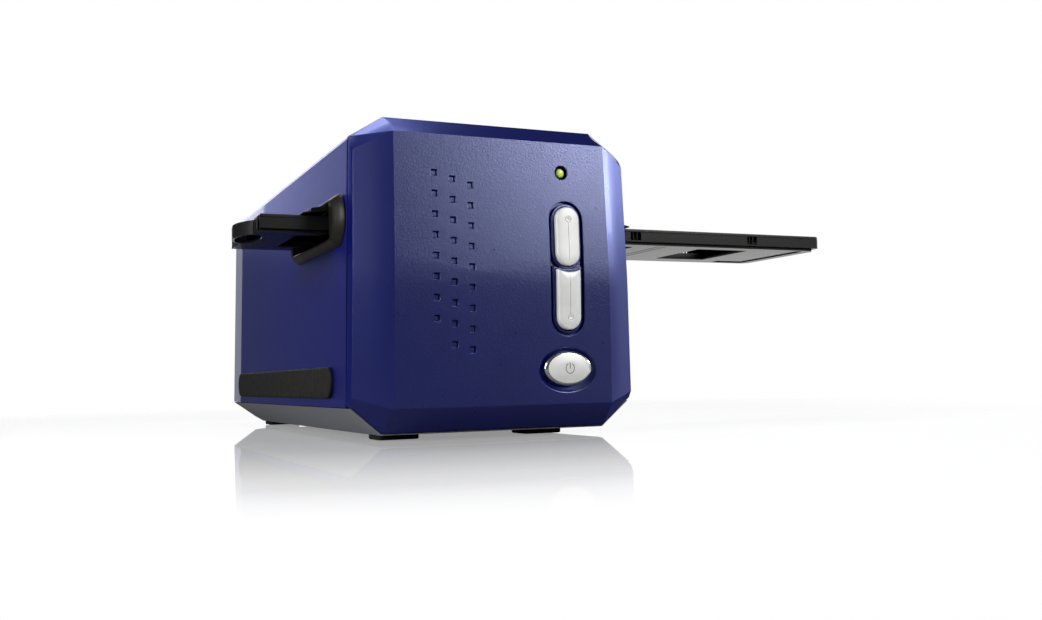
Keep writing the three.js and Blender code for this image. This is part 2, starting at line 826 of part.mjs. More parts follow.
// Grip pads with bowed ends, lying on the sides
function makeSidePads() {
  const halfU = (padFarY - padNearY) / 2;
  const halfV = (padTopZ - padBottomZ) / 2;
  const outline = (inset) => bowedRectangle(
    (padNearY + padFarY) / 2, (padBottomZ + padTopZ) / 2, halfU - inset, halfV - inset, padBulge,
  );
  const backX = halfWidthAt(padBottomZ) + seat;
  for (const [name, side] of [['side_pad_left', -1], ['side_pad_right', 1]]) {
    const pad = hull('x',
      [side * backX, outline(0)],
      [side * (backX + padThickness - padBevel), outline(0)],
      [side * (backX + padThickness), outline(padBevel)],
    );
    piece(name, pad, 'rubber');
  }
}

// Slot frames: sloping black surrounds with a collar through the cover's wall and holes for the door pins
function makeSlotFrames() {
  const middleZ = (slotBottomZ + slotTopZ) / 2;
  const halfHeight = (slotTopZ - slotBottomZ) / 2;
  const halfLength = slotLength / 2;
  const outline = (grow, bulge) => bowedRectangle(
    slotCentreY, middleZ, halfLength + grow, halfHeight + grow, bulge,
  );
  for (const [name, side] of [['slot_frame_left', -1], ['slot_frame_right', 1]]) {
    const surround = hull('x',
      [side * slotFrameBackX, outline(slotFrameBorder, slotFrameBulge)],
      [side * slotFrameFaceX, outline(slotFrameLip, slotLipBulge)],
    );
    const collar = block(
      side * (slotFrameBackX - slotCollarDepth), side * (slotFrameBackX + seat),
      slotCentreY - halfLength - slotCollarWall, slotCentreY + halfLength + slotCollarWall,
      slotBottomZ - slotCollarWall, slotTopZ + slotCollarWall,
    );
    const opening = block(
      side * (slotFrameBackX - slotCollarDepth - overrun), side * (slotFrameFaceX + overrun),
      slotCentreY - halfLength, slotCentreY + halfLength, slotBottomZ, slotTopZ,
    );
    const pinReach = halfLength + doorPinReach + seat;
    const pinHole = disc(
      'y', side * doorHingeX, doorHingeZ, doorPinRadius + runningGap,
      slotCentreY - pinReach, slotCentreY + pinReach, 16,
    );
    piece(name, cut(join(surround, collar), opening, pinHole), 'blackPlastic');
  }
}

// Dust doors: pushed open by the holder, each lies on its top
function makeDustDoors() {
  const half = doorThickness / 2;
  const profile = [
    [0, -half], [doorLength, -half], [doorLength, doorTipThickness - half],
    [doorLength - doorTipLength, half], [0, half],
  ];
  const halfLength = slotLength / 2 - doorEndGap;
  for (const [name, side] of [['dust_door_left', -1], ['dust_door_right', 1]]) {
    const blade = profile.map(([along, across]) => [
      side * (doorHingeX + along * Math.cos(doorRestAngle) + across * Math.sin(doorRestAngle)),
      doorHingeZ - along * Math.sin(doorRestAngle) + across * Math.cos(doorRestAngle),
    ]);
    const door = join(
      prism('y', side < 0 ? blade.reverse() : blade, slotCentreY - halfLength, slotCentreY + halfLength),
      disc('y', side * doorHingeX, doorHingeZ, doorBarrelRadius, slotCentreY - halfLength,
        slotCentreY + halfLength, 16),
      disc('y', side * doorHingeX, doorHingeZ, doorPinRadius, slotCentreY - slotLength / 2 - doorPinReach,
        slotCentreY + slotLength / 2 + doorPinReach, 12),
    );
    piece(name, door, 'blackPlastic');
  }
}

// Holder base: a plate with four windows, a raised finger tab, rails for the slides and a grip pocket
function makeHolderBase() {
  const farX = holderRightX - holderBaseInset;
  const rootX = holderLeftX - tabLedge;
  const bulge = tabReach - tabLedge;
  const radius = (tabHalfLength * tabHalfLength + bulge * bulge) / (2 * bulge);
  const reach = THREE.MathUtils.radToDeg(Math.asin(tabHalfLength / radius));
  const tab = [
    [rootX, baseFarY],
    ...arc(rootX - bulge + radius, tabCentreY, radius, radius, 180 - reach, 180 + reach, 14),
    [rootX, baseNearY],
  ];
  const r = holderBaseCornerRadius;
  const plate = prism('z', [
    ...tab,
    ...arc(farX - r, baseNearY + r, r, r, 270, 360, 4),
    ...arc(farX - r, baseFarY - r, r, r, 0, 90, 4),
  ], holderBottomZ, holderBottomZ + holderBaseThickness);
  const thickTab = prism('z', [
    [holderLeftX - seat, baseFarY], ...tab, [holderLeftX - seat, baseNearY],
  ], holderBottomZ, holderBottomZ + tabHeight);
  const railZ = holderBottomZ + holderBaseThickness / 2;
  const railX = holderLeftX + 2 * holderWall + fingerHalfX;
  const railGap = holderRailWidth / 2;
  const rails = [windowNearY - railGap - holderRailWidth, windowFarY + railGap].map((y) => block(
    railX, farX - 2 * holderWall, y, y + holderRailWidth, railZ, railZ + holderRailHeight,
  ));
  const grooves = Array.from({ length: windowCount - 1 }, (_, i) => {
    const x = firstWindowX + i * windowPitch + baseGrooveOffsetX;
    return block(x, x + baseGrooveWidth, baseNearY + holderRailWidth, baseFarY - holderRailWidth,
      holderBottomZ - overrun, holderBottomZ + baseGrooveDepth);
  });
  const pocketX = firstWindowX + (windowCount - 1) * windowPitch + baseGrooveOffsetX;
  const pocket = block(pocketX, pocketX + gripPocketLength, baseNearY + holderRailWidth,
    baseFarY - holderRailWidth, holderBottomZ - overrun, holderBottomZ + baseGrooveDepth);
  const windows = slideWindows(holderBottomZ - overrun, holderTopZ);
  piece('holder_base', cut(join(plate, thickTab, ...rails), ...windows, ...grooves, pocket,
    fingerHole(holderBottomZ - overrun, holderTopZ)), 'blackPlastic');
}

// Holder cover: a shallow lid over the base with the same windows and catches in its long sides
function makeHolderCover() {
  const r = holderCornerRadius;
  const outline = (inset) => [
    [holderLeftX + inset, holderFarY - inset], [holderLeftX + inset, holderNearY + inset],
    ...arc(holderRightX - r, holderNearY + r, r - inset, r - inset, 270, 360, 4),
    ...arc(holderRightX - r, holderFarY - r, r - inset, r - inset, 0, 90, 4),
  ];
  const shell = cut(
    prism('z', outline(0), coverBottomZ, holderTopZ),
    prism('z', outline(holderWall), coverBottomZ - overrun, holderTopZ - holderRoof),
  );
  const catches = Array.from({ length: windowCount }, (_, i) => {
    const x = firstWindowX + i * windowPitch + catchOffsetX;
    const z = coverBottomZ + holderRoof / 2;
    return block(x - catchWidth / 2, x + catchWidth / 2, holderNearY - overrun, holderFarY + overrun,
      z, z + catchHeight);
  });
  const windows = slideWindows(coverBottomZ - overrun, holderTopZ + overrun);
  piece('holder_cover', cut(shell, ...catches, ...windows, fingerHole(coverBottomZ - overrun,
    holderTopZ + overrun)), 'blackPlastic');
}

// Scan and power buttons: crowned caps with a flange behind the wall and a stem to the switch
function makeButtons() {
  const stemEndY = buttonBoardY - seat - switchHeight - plungerHeight - buttonTravel - seat;
  const stem = (x, z, fromY) => disc('y', x, z, stemRadius, fromY, stemEndY, 16);
  const frontY = -buttonProud - faceBow - overrun;
  const capsules = [
    ['scan_button_upper', upperButtonOutline, upperButtonBottomZ, upperButtonTopZ],
    ['scan_button_lower', lowerButtonOutline, lowerButtonBottomZ, lowerButtonTopZ],
  ];
  for (const [name, outline, bottom, top] of capsules) {
    const low = bottom + buttonWidth / 2;
    const high = top - buttonWidth / 2;
    const flangeY = flangeYAt(low, high);
    const layer = (step) => prism('y', outline(step - buttonCrown), frontY, flangeY + flangeThickness)
      .intersect(behindFace(step - buttonProud));
    const cap = join(layer(0), layer(buttonCrown / 2), layer(buttonCrown));
    const wing = buttonWidth / 2 + flangeLip;
    const flange = block(capsuleX - wing, capsuleX + wing, flangeY, flangeY + flangeThickness, low, high);
    piece(name, join(cap, flange, stem(capsuleX, (bottom + top) / 2, flangeY)), 'silver');
  }
  const flangeHalf = powerHalfZ + flangeLip;
  const flangeY = flangeYAt(powerZ - flangeHalf, powerZ + flangeHalf);
  const cap = convex([
    ...bowed(-buttonProud, powerOutline(-2 * buttonCrown)),
    ...bowed(buttonCrown - buttonProud, powerOutline(0)),
    ...powerOutline(0).map(([x, z]) => [x, flangeY + seat, z]),
  ]);
  const flange = prism('y', powerOutline(flangeLip), flangeY, flangeY + flangeThickness);
  piece('power_button', join(cap, flange, stem(powerX, powerZ, flangeY)), 'silver');
}

function makeStatusLamp() {
  const faceY = -bowAt(lampZ);
  const collarY = flangeYAt(lampZ - lampCollarRadius, lampZ + lampCollarRadius);
  const lens = hull('y',
    [faceY - lampProud, ellipse(lampX, lampZ, lampTipRadius, lampTipRadius, 16)],
    [faceY, ellipse(lampX, lampZ, lampRadius, lampRadius, 16)],
    [buttonBoardY - seat, ellipse(lampX, lampZ, lampRadius, lampRadius, 16)],
  );
  const collar = disc('y', lampX, lampZ, lampCollarRadius, collarY, collarY + lampCollarDepth);
  piece('status_lamp', join(lens, collar), 'lampGreen');
}

// The button board with a push switch behind each button
function makeButtonBoard() {
  piece('button_board', block(
    capsuleX - buttonBoardMargin, capsuleX + capsuleWidth / 2 + 2 * bossRadius + seat,
    buttonBoardY, buttonBoardY + boardThickness,
    powerZ - buttonBoardMargin, lampZ + bossRadius + seat,
  ), 'board');
  const places = [
    ['switch_upper', capsuleX, (upperButtonBottomZ + upperButtonTopZ) / 2],
    ['switch_lower', capsuleX, (lowerButtonBottomZ + lowerButtonTopZ) / 2],
    ['switch_power', powerX, powerZ],
  ];
  const half = switchSize / 2;
  const backY = buttonBoardY - seat;
  for (const [name, x, z] of places) {
    piece(name, join(
      block(x - half, x + half, backY - switchHeight, backY, z - half, z + half),
      disc('y', x, z, plungerRadius, backY - switchHeight - plungerHeight, backY - seat, 16),
    ), 'blackPlastic');
  }
}

// Film guide: a channel on four legs, with the scan window in its floor
function makeFilmGuide() {
  const channel = cut(
    block(-guideHalfLength, guideHalfLength, guideNearY, guideFarY, guideFloorBottomZ, guideWallTopZ),
    block(
      -guideHalfLength - overrun, guideHalfLength + overrun,
      guideNearY + guideWall, guideFarY - guideWall, guideFloorTopZ, guideWallTopZ + overrun,
    ),
  );
  const legX = guideHalfLength - guideLegInset - guideLegSize / 2;
  const legs = [-legX, legX].flatMap((x) => [guideNearY, guideFarY - guideLegSize].map((y) => block(
    x - guideLegSize / 2, x + guideLegSize / 2, y, y + guideLegSize,
    chassisTopZ + seat, guideFloorTopZ - seat,
  )));
  const gateHalf = windowWidth / 2 + gateMargin;
  const gate = block(
    opticsX - gateHalf, opticsX + gateHalf, windowNearY - gateMargin, windowFarY + gateMargin,
    guideFloorBottomZ - overrun, guideFloorTopZ + overrun,
  );
  piece('film_guide', cut(join(channel, ...legs), gate), 'blackPlastic');
}

// Light source: a housing on the guide's walls, with its board, emitter and diffuser
function makeLightSource() {
  const left = opticsX - lampHouseHalfX;
  const right = opticsX + lampHouseHalfX;
  const nearY = guideNearY + lampHouseInsetY;
  const farY = guideFarY - lampHouseInsetY;
  const wall = lampHouseWall;
  piece('lamp_housing', cut(
    join(
      block(left, right, guideNearY, guideFarY, lampHouseBottomZ, lampHouseBottomZ + lampHouseFlange),
      block(left, right, nearY, farY, lampHouseBottomZ, lampHouseTopZ),
    ),
    block(left + wall, right - wall, nearY + wall, farY - wall, lampHouseBottomZ - overrun,
      lampHouseTopZ - wall),
  ), 'blackPlastic');
  const inner = wall + runningGap;
  const sheetOf = (z, thickness) => block(
    left + inner, right - inner, nearY + inner, farY - inner, z, z + thickness,
  );
  const lampBoardZ = lampHouseTopZ - wall - lampBoardGap - boardThickness;
  const middleY = (windowNearY + windowFarY) / 2;
  piece('lamp_board', sheetOf(lampBoardZ, boardThickness), 'board');
  piece('diffuser', sheetOf(lampHouseBottomZ + runningGap, diffuserThickness), 'nylon');
  piece('lamp_emitter', block(
    opticsX - emitterWidth / 2, opticsX + emitterWidth / 2,
    middleY - emitterLength / 2, middleY + emitterLength / 2,
    lampBoardZ - seat - emitterHeight, lampBoardZ - seat,
  ), 'nylon');
}

// Chassis: a folded sheet with an upright at each end, pillars for the board and an ear for the gear's axle
function makeChassis() {
  const floor = block(
    -chassisHalfWidth, chassisHalfWidth, chassisNearY, chassisFarY, chassisZ, chassisTopZ,
  );
  const uprights = [chassisNearY, chassisFarY - sheet].map((y) => block(
    -chassisHalfWidth, chassisHalfWidth, y, y + sheet, chassisZ, uprightTopZ,
  ));
  const ear = block(
    earX, earX + sheet, gearY - axleEarHalf, gearY + axleEarHalf, chassisZ, gearZ + axleEarHalf,
  );
  const pillars = [mainBoardX + boardPillarInset, mainBoardFarX - boardPillarInset].flatMap(
    (x) => [mainBoardNearY + boardPillarInset, chassisFarY - 2 * boardPillarInset].map(
      (y) => disc('z', x, y, boardPillarRadius, chassisZ, mainBoardZ - seat, 12),
    ),
  );
  const rodHoles = rodPlaces().map(([, x]) => disc(
    'y', x, rodZ, rodRadius + seat, chassisNearY - overrun, chassisFarY + overrun,
  ));
  const axleHole = disc('x', gearY, gearZ, axleRadius + seat, earX - overrun, earX + sheet + overrun);
  const screwHoles = screwPlaces().map(([, x, y]) => disc(
    'z', x, y, screwRadius + runningGap, chassisZ - overrun, chassisTopZ + overrun, 12,
  ));
  const boardWindow = block(
    mainBoardX - runningGap, mainBoardFarX + runningGap,
    chassisFarY - sheet - overrun, chassisFarY + overrun,
    mainBoardZ - runningGap, mainBoardZ + boardThickness + runningGap,
  );
  piece('chassis', cut(join(floor, ...uprights, ear, ...pillars), ...rodHoles, axleHole, ...screwHoles,
    boardWindow), 'steel');
}

function rodPlaces() {
  return [['guide_rod_left', opticsX - rodSpacing / 2], ['guide_rod_right', opticsX + rodSpacing / 2]];
}

function makeGuideRods() {
  for (const [name, x] of rodPlaces()) {
    const rod = disc('y', x, rodZ, rodRadius, chassisNearY - rodEndReach, chassisFarY + rodEndReach);
    piece(name, rod, 'steel');
  }
}

// Optical carriage: a trough on two bearings, with a wedge for the mirror and a wall for the lens
function makeCarriage() {
  const left = opticsX - carriageHalfWidth;
  const right = opticsX + carriageHalfWidth;
  const floorZ = carriageBottomZ + carriageWall;
  const trough = cut(
    block(left, right, carriageNearY, carriageFarY, carriageBottomZ, carriageSideTopZ),
    block(left + carriageWall, right - carriageWall, carriageNearY - overrun, carriageFarY - carriageWall,
      floorZ, carriageSideTopZ + overrun),
  );
  const backing = (mirrorThickness + seat) / Math.SQRT2;
  const backY = scanStartY - backing;
  const backZ = opticalZ - backing;
  const lean = mirrorHalf / Math.SQRT2;
  const wedge = prism('x', [
    [carriageNearY, floorZ - carriageWall / 2], [backY + backZ - floorZ, floorZ - carriageWall / 2],
    [backY + backZ - floorZ, floorZ], [backY - lean, backZ + lean], [carriageNearY, backZ + lean],
  ], left + carriageWall / 2, right - carriageWall / 2);
  const lensWall = block(
    left + carriageWall / 2, right - carriageWall / 2, lensWallY, lensWallY + carriageWall,
    carriageBottomZ + carriageWall / 2, carriageSideTopZ,
  );
  const bearings = rodPlaces().map(([, x]) => block(
    x - bearingHalf, x + bearingHalf, bearingNearY, bearingFarY, rodZ - bearingHalf, rodZ + bearingHalf,
  ));
  const bores = rodPlaces().map(([, x]) => disc(
    'y', x, rodZ, rodRadius + runningGap, bearingNearY - overrun, bearingFarY + overrun,
  ));
  const lensHole = disc('y', opticsX, opticalZ, lensRadius + seat, lensWallY - overrun,
    lensWallY + carriageWall + overrun);
  const frame = join(trough, wedge, lensWall, ...bearings);
  piece('carriage_frame', cut(frame, ...bores, lensHole), 'blackPlastic');
  const tilt = (t, depth) => [scanStartY - (t + depth) / Math.SQRT2, opticalZ + (t - depth) / Math.SQRT2];
  piece('mirror', prism('x', [
    tilt(mirrorHalf, 0), tilt(mirrorHalf, mirrorThickness),
    tilt(-mirrorHalf, mirrorThickness), tilt(-mirrorHalf, 0),
  ], left + mirrorSideInset, right - mirrorSideInset), 'mirror');
}

// Lens in its barrel, and the line sensor on its board, both carried by the trough
function makeLensAndSensor() {
  const barrel = join(
    disc('y', opticsX, opticalZ, lensRadius, lensWallY - lensReach, lensWallY + lensReach),
    disc('y', opticsX, opticalZ, lensFlangeRadius, lensWallY - seat - carriageWall, lensWallY - seat),
  );
  const bore = disc('y', opticsX, opticalZ, lensBore, lensWallY - lensReach - overrun,
    lensWallY + lensReach + overrun);
  piece('lens_barrel', cut(barrel, bore), 'blackPlastic');
  const rim = ellipse(opticsX, opticalZ, lensGlassRadius, lensGlassRadius, 20);
  const face = ellipse(opticsX, opticalZ, lensGlassRadius / 2, lensGlassRadius / 2, 20);
  piece('lens_glass', hull('y',
    [lensWallY - lensGlassThickness / 2, face], [lensWallY - lensEdgeThickness / 2, rim],
    [lensWallY + lensEdgeThickness / 2, rim], [lensWallY + lensGlassThickness / 2, face],
  ), 'glass');
  const boardHalf = carriageHalfWidth - carriageWall - runningGap;
  const sensorHalf = carriageHalfWidth - sensorSideInset;
  piece('sensor_board', block(
    opticsX - boardHalf, opticsX + boardHalf, sensorBoardY, sensorBoardY + boardThickness,
    carriageBottomZ + carriageWall + seat, carriageSideTopZ,
  ), 'board');
  piece('line_sensor', block(
    opticsX - sensorHalf, opticsX + sensorHalf, sensorBoardY - seat - sensorDepth, sensorBoardY - seat,
    opticalZ - sensorHeight / 2, opticalZ + sensorHeight / 2,
  ), 'blackPlastic');
}

// Half the angle that a tooth takes up at a radius, on involute flanks.
function toothHalfAngle(teeth, radius) {
  const pitchRadius = gearModule * teeth / 2;
  const pressure = THREE.MathUtils.degToRad(pressureAngle);
  const baseRadius = pitchRadius * Math.cos(pressure);
  const involute = (angle) => Math.tan(angle) - angle;
  const local = Math.acos(Math.min(1, baseRadius / radius));
  const atPitch = (Math.PI * gearModule / 2 - toothSlack) / 2 / pitchRadius;
  return atPitch + involute(pressure) - involute(local);
}

// A gear's outline round (cu, cv), with a tooth centred on an angle in degrees.
function gearOutline(teeth, cu, cv, toothAngle) {
  const pitchRadius = gearModule * teeth / 2;
  const root = pitchRadius - 1.25 * gearModule;
  const tip = pitchRadius + 0.9 * gearModule;
  const flank = [root, Math.max(root, pitchRadius - gearModule / 2), pitchRadius, tip];
  const start = THREE.MathUtils.degToRad(toothAngle);
  return Array.from({ length: teeth }, (_, i) => {
    const centre = start + i * 2 * Math.PI / teeth;
    const at = (radius, angle) => [cu + radius * Math.cos(angle), cv + radius * Math.sin(angle)];
    const rising = flank.map((radius) => at(radius, centre - toothHalfAngle(teeth, radius)));
    const falling = flank.map((radius) => at(radius, centre + toothHalfAngle(teeth, radius))).reverse();
    return [...rising, ...falling];
  }).flat();
}

// Rack under the right bearing, reduction gear on its axle, and the motor with its pinion
function makeDrive() {
  const pitch = Math.PI * gearModule;
  const spread = Math.tan(THREE.MathUtils.degToRad(pressureAngle)) * gearModule;
  const halfTooth = (pitch / 2 - toothSlack) / 2;
  const travelTeeth = Math.ceil(carriageTravel / pitch) + rackEndTeeth;
  const rootZ = rackPitchZ + 1.25 * gearModule;
  const tipZ = rackPitchZ - 0.9 * gearModule;
  const teeth = Array.from({ length: travelTeeth + rackEndTeeth + 1 }, (_, i) => {
    const y = gearY + (i - travelTeeth) * pitch;
    return [
      [y - halfTooth - 1.25 * spread, rootZ], [y - halfTooth + 0.9 * spread, tipZ],
      [y + halfTooth - 0.9 * spread, tipZ], [y + halfTooth + 1.25 * spread, rootZ],
    ];
  }).flat();
  const rackTopZ = rodZ - bearingHalf - seat;
  const lastY = gearY + (rackEndTeeth + 1 / 2) * pitch;
  const firstY = gearY - (travelTeeth + 1 / 2) * pitch;
  piece('carriage_rack', prism('x', [[firstY, rootZ], ...teeth, [lastY, rootZ], [lastY, rackTopZ],
    [firstY, rackTopZ]], rackX, rackX + gearFace), 'nylon');

  const halfStep = 180 / smallGearTeeth;
  const gear = cut(
    join(
      prism('x', gearOutline(smallGearTeeth, gearY, gearZ, 90 + halfStep), rackX, rackX + gearFace),
      disc('x', gearY, gearZ, gearHubRadius, rackX + gearFace - seat, largeGearX + seat),
      prism('x', gearOutline(largeGearTeeth, gearY, gearZ, 0), largeGearX, largeGearX + gearFace),
    ),
    disc('x', gearY, gearZ, axleBore, rackX - overrun, largeGearX + gearFace + overrun),
  );
  piece('reduction_gear', gear, 'nylon');
  piece('gear_axle', disc('x', gearY, gearZ, axleRadius, rackX - seat, earX + sheet + seat), 'steel');

  const shaftEndX = motorEndX - motorShaftDepth;
  const pinionOutline = gearOutline(pinionTeeth, motorY, gearZ, 180 + 180 / pinionTeeth);
  piece('motor_pinion', join(
    disc('x', motorY, gearZ, motorShaftRadius, shaftEndX + seat, largeGearX + seat, 12),
    prism('x', pinionOutline, largeGearX, largeGearX + gearFace),
  ), 'steel');
  piece('motor', cut(
    disc('x', motorY, gearZ, motorRadius, motorEndX - motorLength, motorEndX, 28),
    disc('x', motorY, gearZ, motorShaftRadius + runningGap, shaftEndX, motorEndX + overrun, 12),
  ), 'steel');
  const cradleX = motorEndX - motorLength / 2;
  const cradle = block(
    cradleX - cradleLength / 2, cradleX + cradleLength / 2,
    motorY - cradleHalfWidth, motorY + cradleHalfWidth, chassisTopZ + seat, cradleTopZ,
  );
  const can = disc(
    'x', motorY, gearZ, motorRadius + seat, cradleX - cradleLength, cradleX + cradleLength, 28,
  );
  piece('motor_cradle', cut(cradle, can), 'blackPlastic');
}

// Main board with its chip and the two sockets that reach through the rear cover
function makeElectronics() {
  piece('main_board', block(
    mainBoardX, mainBoardFarX, mainBoardNearY, mainBoardFarY, mainBoardZ, mainBoardZ + boardThickness,
  ), 'board');
  const half = chipSize / 2;
  const chipX = usbX + chipShiftX;
  const chipY = chassisFarY - chipRearInset;
  piece('scan_chip', block(
    chipX - half, chipX + half, chipY - half, chipY + half, socketBottomZ, socketBottomZ + chipHeight,
  ), 'blackPlastic');
  const endY = bodyDepth - seat;
  const startY = endY - socketLength;
  const middleZ = socketBottomZ + socketHeight / 2;
  const boxOf = (x, width) => block(x - width / 2, x + width / 2, startY, endY, socketBottomZ,
    socketBottomZ + socketHeight);
  const cavity = block(
    usbX - usbCavityWidth / 2, usbX + usbCavityWidth / 2, endY - usbCavityDepth, endY + overrun,
    middleZ - usbCavityHeight / 2, middleZ + usbCavityHeight / 2,
  );
  const tongue = block(
    usbX - usbTongueWidth / 2, usbX + usbTongueWidth / 2,
    endY - usbCavityDepth - overrun, endY - overrun,
    middleZ - usbTongueHeight / 2, middleZ + usbTongueHeight / 2,
  );
  piece('usb_socket', join(cut(boxOf(usbX, usbWidth), cavity), tongue), 'steel');
  const bore = disc('y', jackX, middleZ, jackBore, endY - jackDepth, endY + overrun);
  const pin = disc('y', jackX, middleZ, jackPinRadius, endY - jackDepth - overrun, endY - overrun, 12);
  piece('power_jack', join(cut(boxOf(jackX, jackWidth), bore), pin), 'blackPlastic');
}

makeFrontCover();
makeMainCover();
makeRearCover();
makeBaseTray();
makeFeet();
makeCoverScrews();
makeSidePads();
makeSlotFrames();
makeDustDoors();
makeHolderBase();
makeHolderCover();
makeButtons();
makeStatusLamp();
makeButtonBoard();
makeFilmGuide();
makeLightSource();
makeChassis();
makeGuideRods();
makeCarriage();
makeLensAndSensor();
makeDrive();
makeElectronics();

const around = new THREE.Box3().setFromObject(assembly);
assembly.position.set(-(around.min.x + around.max.x) / 2, -(around.min.y + around.max.y) / 2, 0);

export default scanner;
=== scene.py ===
"""Looks of a desktop scanner for mounted slides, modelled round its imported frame.

Sizes are in millimetres along the body's own axes: X to the right seen from the front, Y back from the
upper and lower edge of the bowed face, Z up from the table. The bench turns them into metres in the
frame's own place.
"""
import logging
import math
from collections.abc import Callable, Iterator, Sequence
from contextlib import contextmanager
from dataclasses import dataclass, field
from enum import Enum
from functools import partial

import bmesh
import bpy
from mathutils import Matrix, Vector


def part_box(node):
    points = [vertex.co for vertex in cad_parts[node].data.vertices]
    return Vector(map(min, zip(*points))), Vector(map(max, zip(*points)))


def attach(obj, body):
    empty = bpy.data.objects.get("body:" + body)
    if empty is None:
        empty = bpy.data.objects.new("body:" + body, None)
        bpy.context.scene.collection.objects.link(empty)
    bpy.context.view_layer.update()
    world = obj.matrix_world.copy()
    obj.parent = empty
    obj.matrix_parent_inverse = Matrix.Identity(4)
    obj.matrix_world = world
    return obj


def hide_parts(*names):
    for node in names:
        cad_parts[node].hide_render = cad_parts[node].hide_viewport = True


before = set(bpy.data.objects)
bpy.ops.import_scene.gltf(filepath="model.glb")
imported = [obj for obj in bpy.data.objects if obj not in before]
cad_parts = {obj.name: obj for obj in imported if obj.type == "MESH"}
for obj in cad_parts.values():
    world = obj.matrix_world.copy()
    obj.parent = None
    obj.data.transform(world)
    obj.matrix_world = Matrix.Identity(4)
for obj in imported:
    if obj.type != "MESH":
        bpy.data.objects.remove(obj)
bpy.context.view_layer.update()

log = logging.getLogger("scanner")

Point = tuple[float, float]
Outline = list[Point]
Place = tuple[float, float, float]
Colour = tuple[float, float, float, float]
Piece = bpy.types.Object
Socket = bpy.types.NodeSocket

MM = 0.001
MERGE = 2e-6
PIPE_SIDES = 24
MAIN_COVER_START = 13.1


class Axis(Enum):
    """The axis that an outline lies across, with the order of its other two coordinates."""

    X = 0
    Y = 1
    Z = 2

    def point(self, at: float, u: float, v: float) -> Vector:
        """Gives the point at a place along this axis, from its other two coordinates."""
        return Vector({Axis.X: (at, u, v), Axis.Y: (u, at, v), Axis.Z: (u, v, at)}[self])


class Side(Enum):
    """Left or right of the body, seen from the front, with its sign along X."""

    LEFT = -1
    RIGHT = 1

    @property
    def word(self) -> str:
        """The side's name as the pieces use it."""
        return self.name.lower()


def arc(cu: float, cv: float, ru: float, rv: float, start: float, end: float, steps: int) -> Outline:
    """Gives the points of an elliptical arc with its ends, in chords between two angles in degrees."""
    angles = (math.radians(start + (end - start) * i / steps) for i in range(steps + 1))
    return [(cu + ru * math.cos(a), cv + rv * math.sin(a)) for a in angles]


def ellipse(cu: float, cv: float, ru: float, rv: float, sides: int = 48, grow: float = 0) -> Outline:
    """Gives a closed ellipse of so many sides, its first point given once, grown by a margin."""
    return arc(cu, cv, ru + grow, rv + grow, 0, 360, sides)[:sides]


def rectangle(ua: float, ub: float, va: float, vb: float) -> Outline:
    """Gives the four corners of a rectangle between two pairs of places."""
    return [(ua, va), (ub, va), (ub, vb), (ua, vb)]


def rounded(ua: float, ub: float, va: float, vb: float, radius: float, steps: int = 4,
            grow: float = 0) -> Outline:
    """Gives a rectangle with round corners.

    Args:
        ua: low edge, first coordinate.
        ub: high edge, first coordinate.
        va: low edge, second coordinate.
        vb: high edge, second coordinate.
        radius: radius of its corners.
        steps: chords in each corner.
        grow: margin that it grows by, its corners too.

    Returns:
        The points in order.
    """
    r = radius + grow
    left, right, low, high = ua - grow + r, ub + grow - r, va - grow + r, vb + grow - r
    corners = ((right, low, 270), (right, high, 0), (left, high, 90), (left, low, 180))
    return [p for u, v, turn in corners for p in arc(u, v, r, r, turn, turn + 90, steps)]


def stadium(cu: float, bottom: float, top: float, width: float, steps: int = 16,
            grow: float = 0) -> Outline:
    """Gives an upright outline with two half-round ends.

    Args:
        cu: its middle, first coordinate.
        bottom: its lower end.
        top: its upper end.
        width: its width.
        steps: chords in each end.
        grow: margin that it grows by.

    Returns:
        The points in order.
    """
    r = (width + 2 * grow) / 2
    low, high = bottom - grow + r, top + grow - r
    return arc(cu, low, r, r, 180, 360, steps) + arc(cu, high, r, r, 0, 180, steps)


def bow(tip: float, cv: float, half: float, bulge: float, facing: float, steps: int) -> Outline:
    """Gives a shallow arc that bows out to the right or to the left.

    Args:
        tip: place of its tip, first coordinate.
        cv: its middle, second coordinate.
        half: half its chord.
        bulge: how far it bows out.
        facing: 0 to the right, 180 to the left.
        steps: number of chords.

    Returns:
        The points in order.
    """
    radius = (half * half + bulge * bulge) / (2 * bulge)
    reach = math.degrees(math.asin(half / radius))
    centre = tip - radius if facing == 0 else tip + radius
    return arc(centre, cv, radius, radius, facing - reach, facing + reach, steps)


def bowed(cu: float, cv: float, half_u: float, half_v: float, bulge: float, steps: int = 12) -> Outline:
    """Gives a rectangle about a centre, of two half sizes, whose two short ends bow outwards."""
    middle = half_u + bulge
    return bow(cu + middle, cv, half_v, bulge, 0, steps) + bow(cu - middle, cv, half_v, bulge, 180, steps)


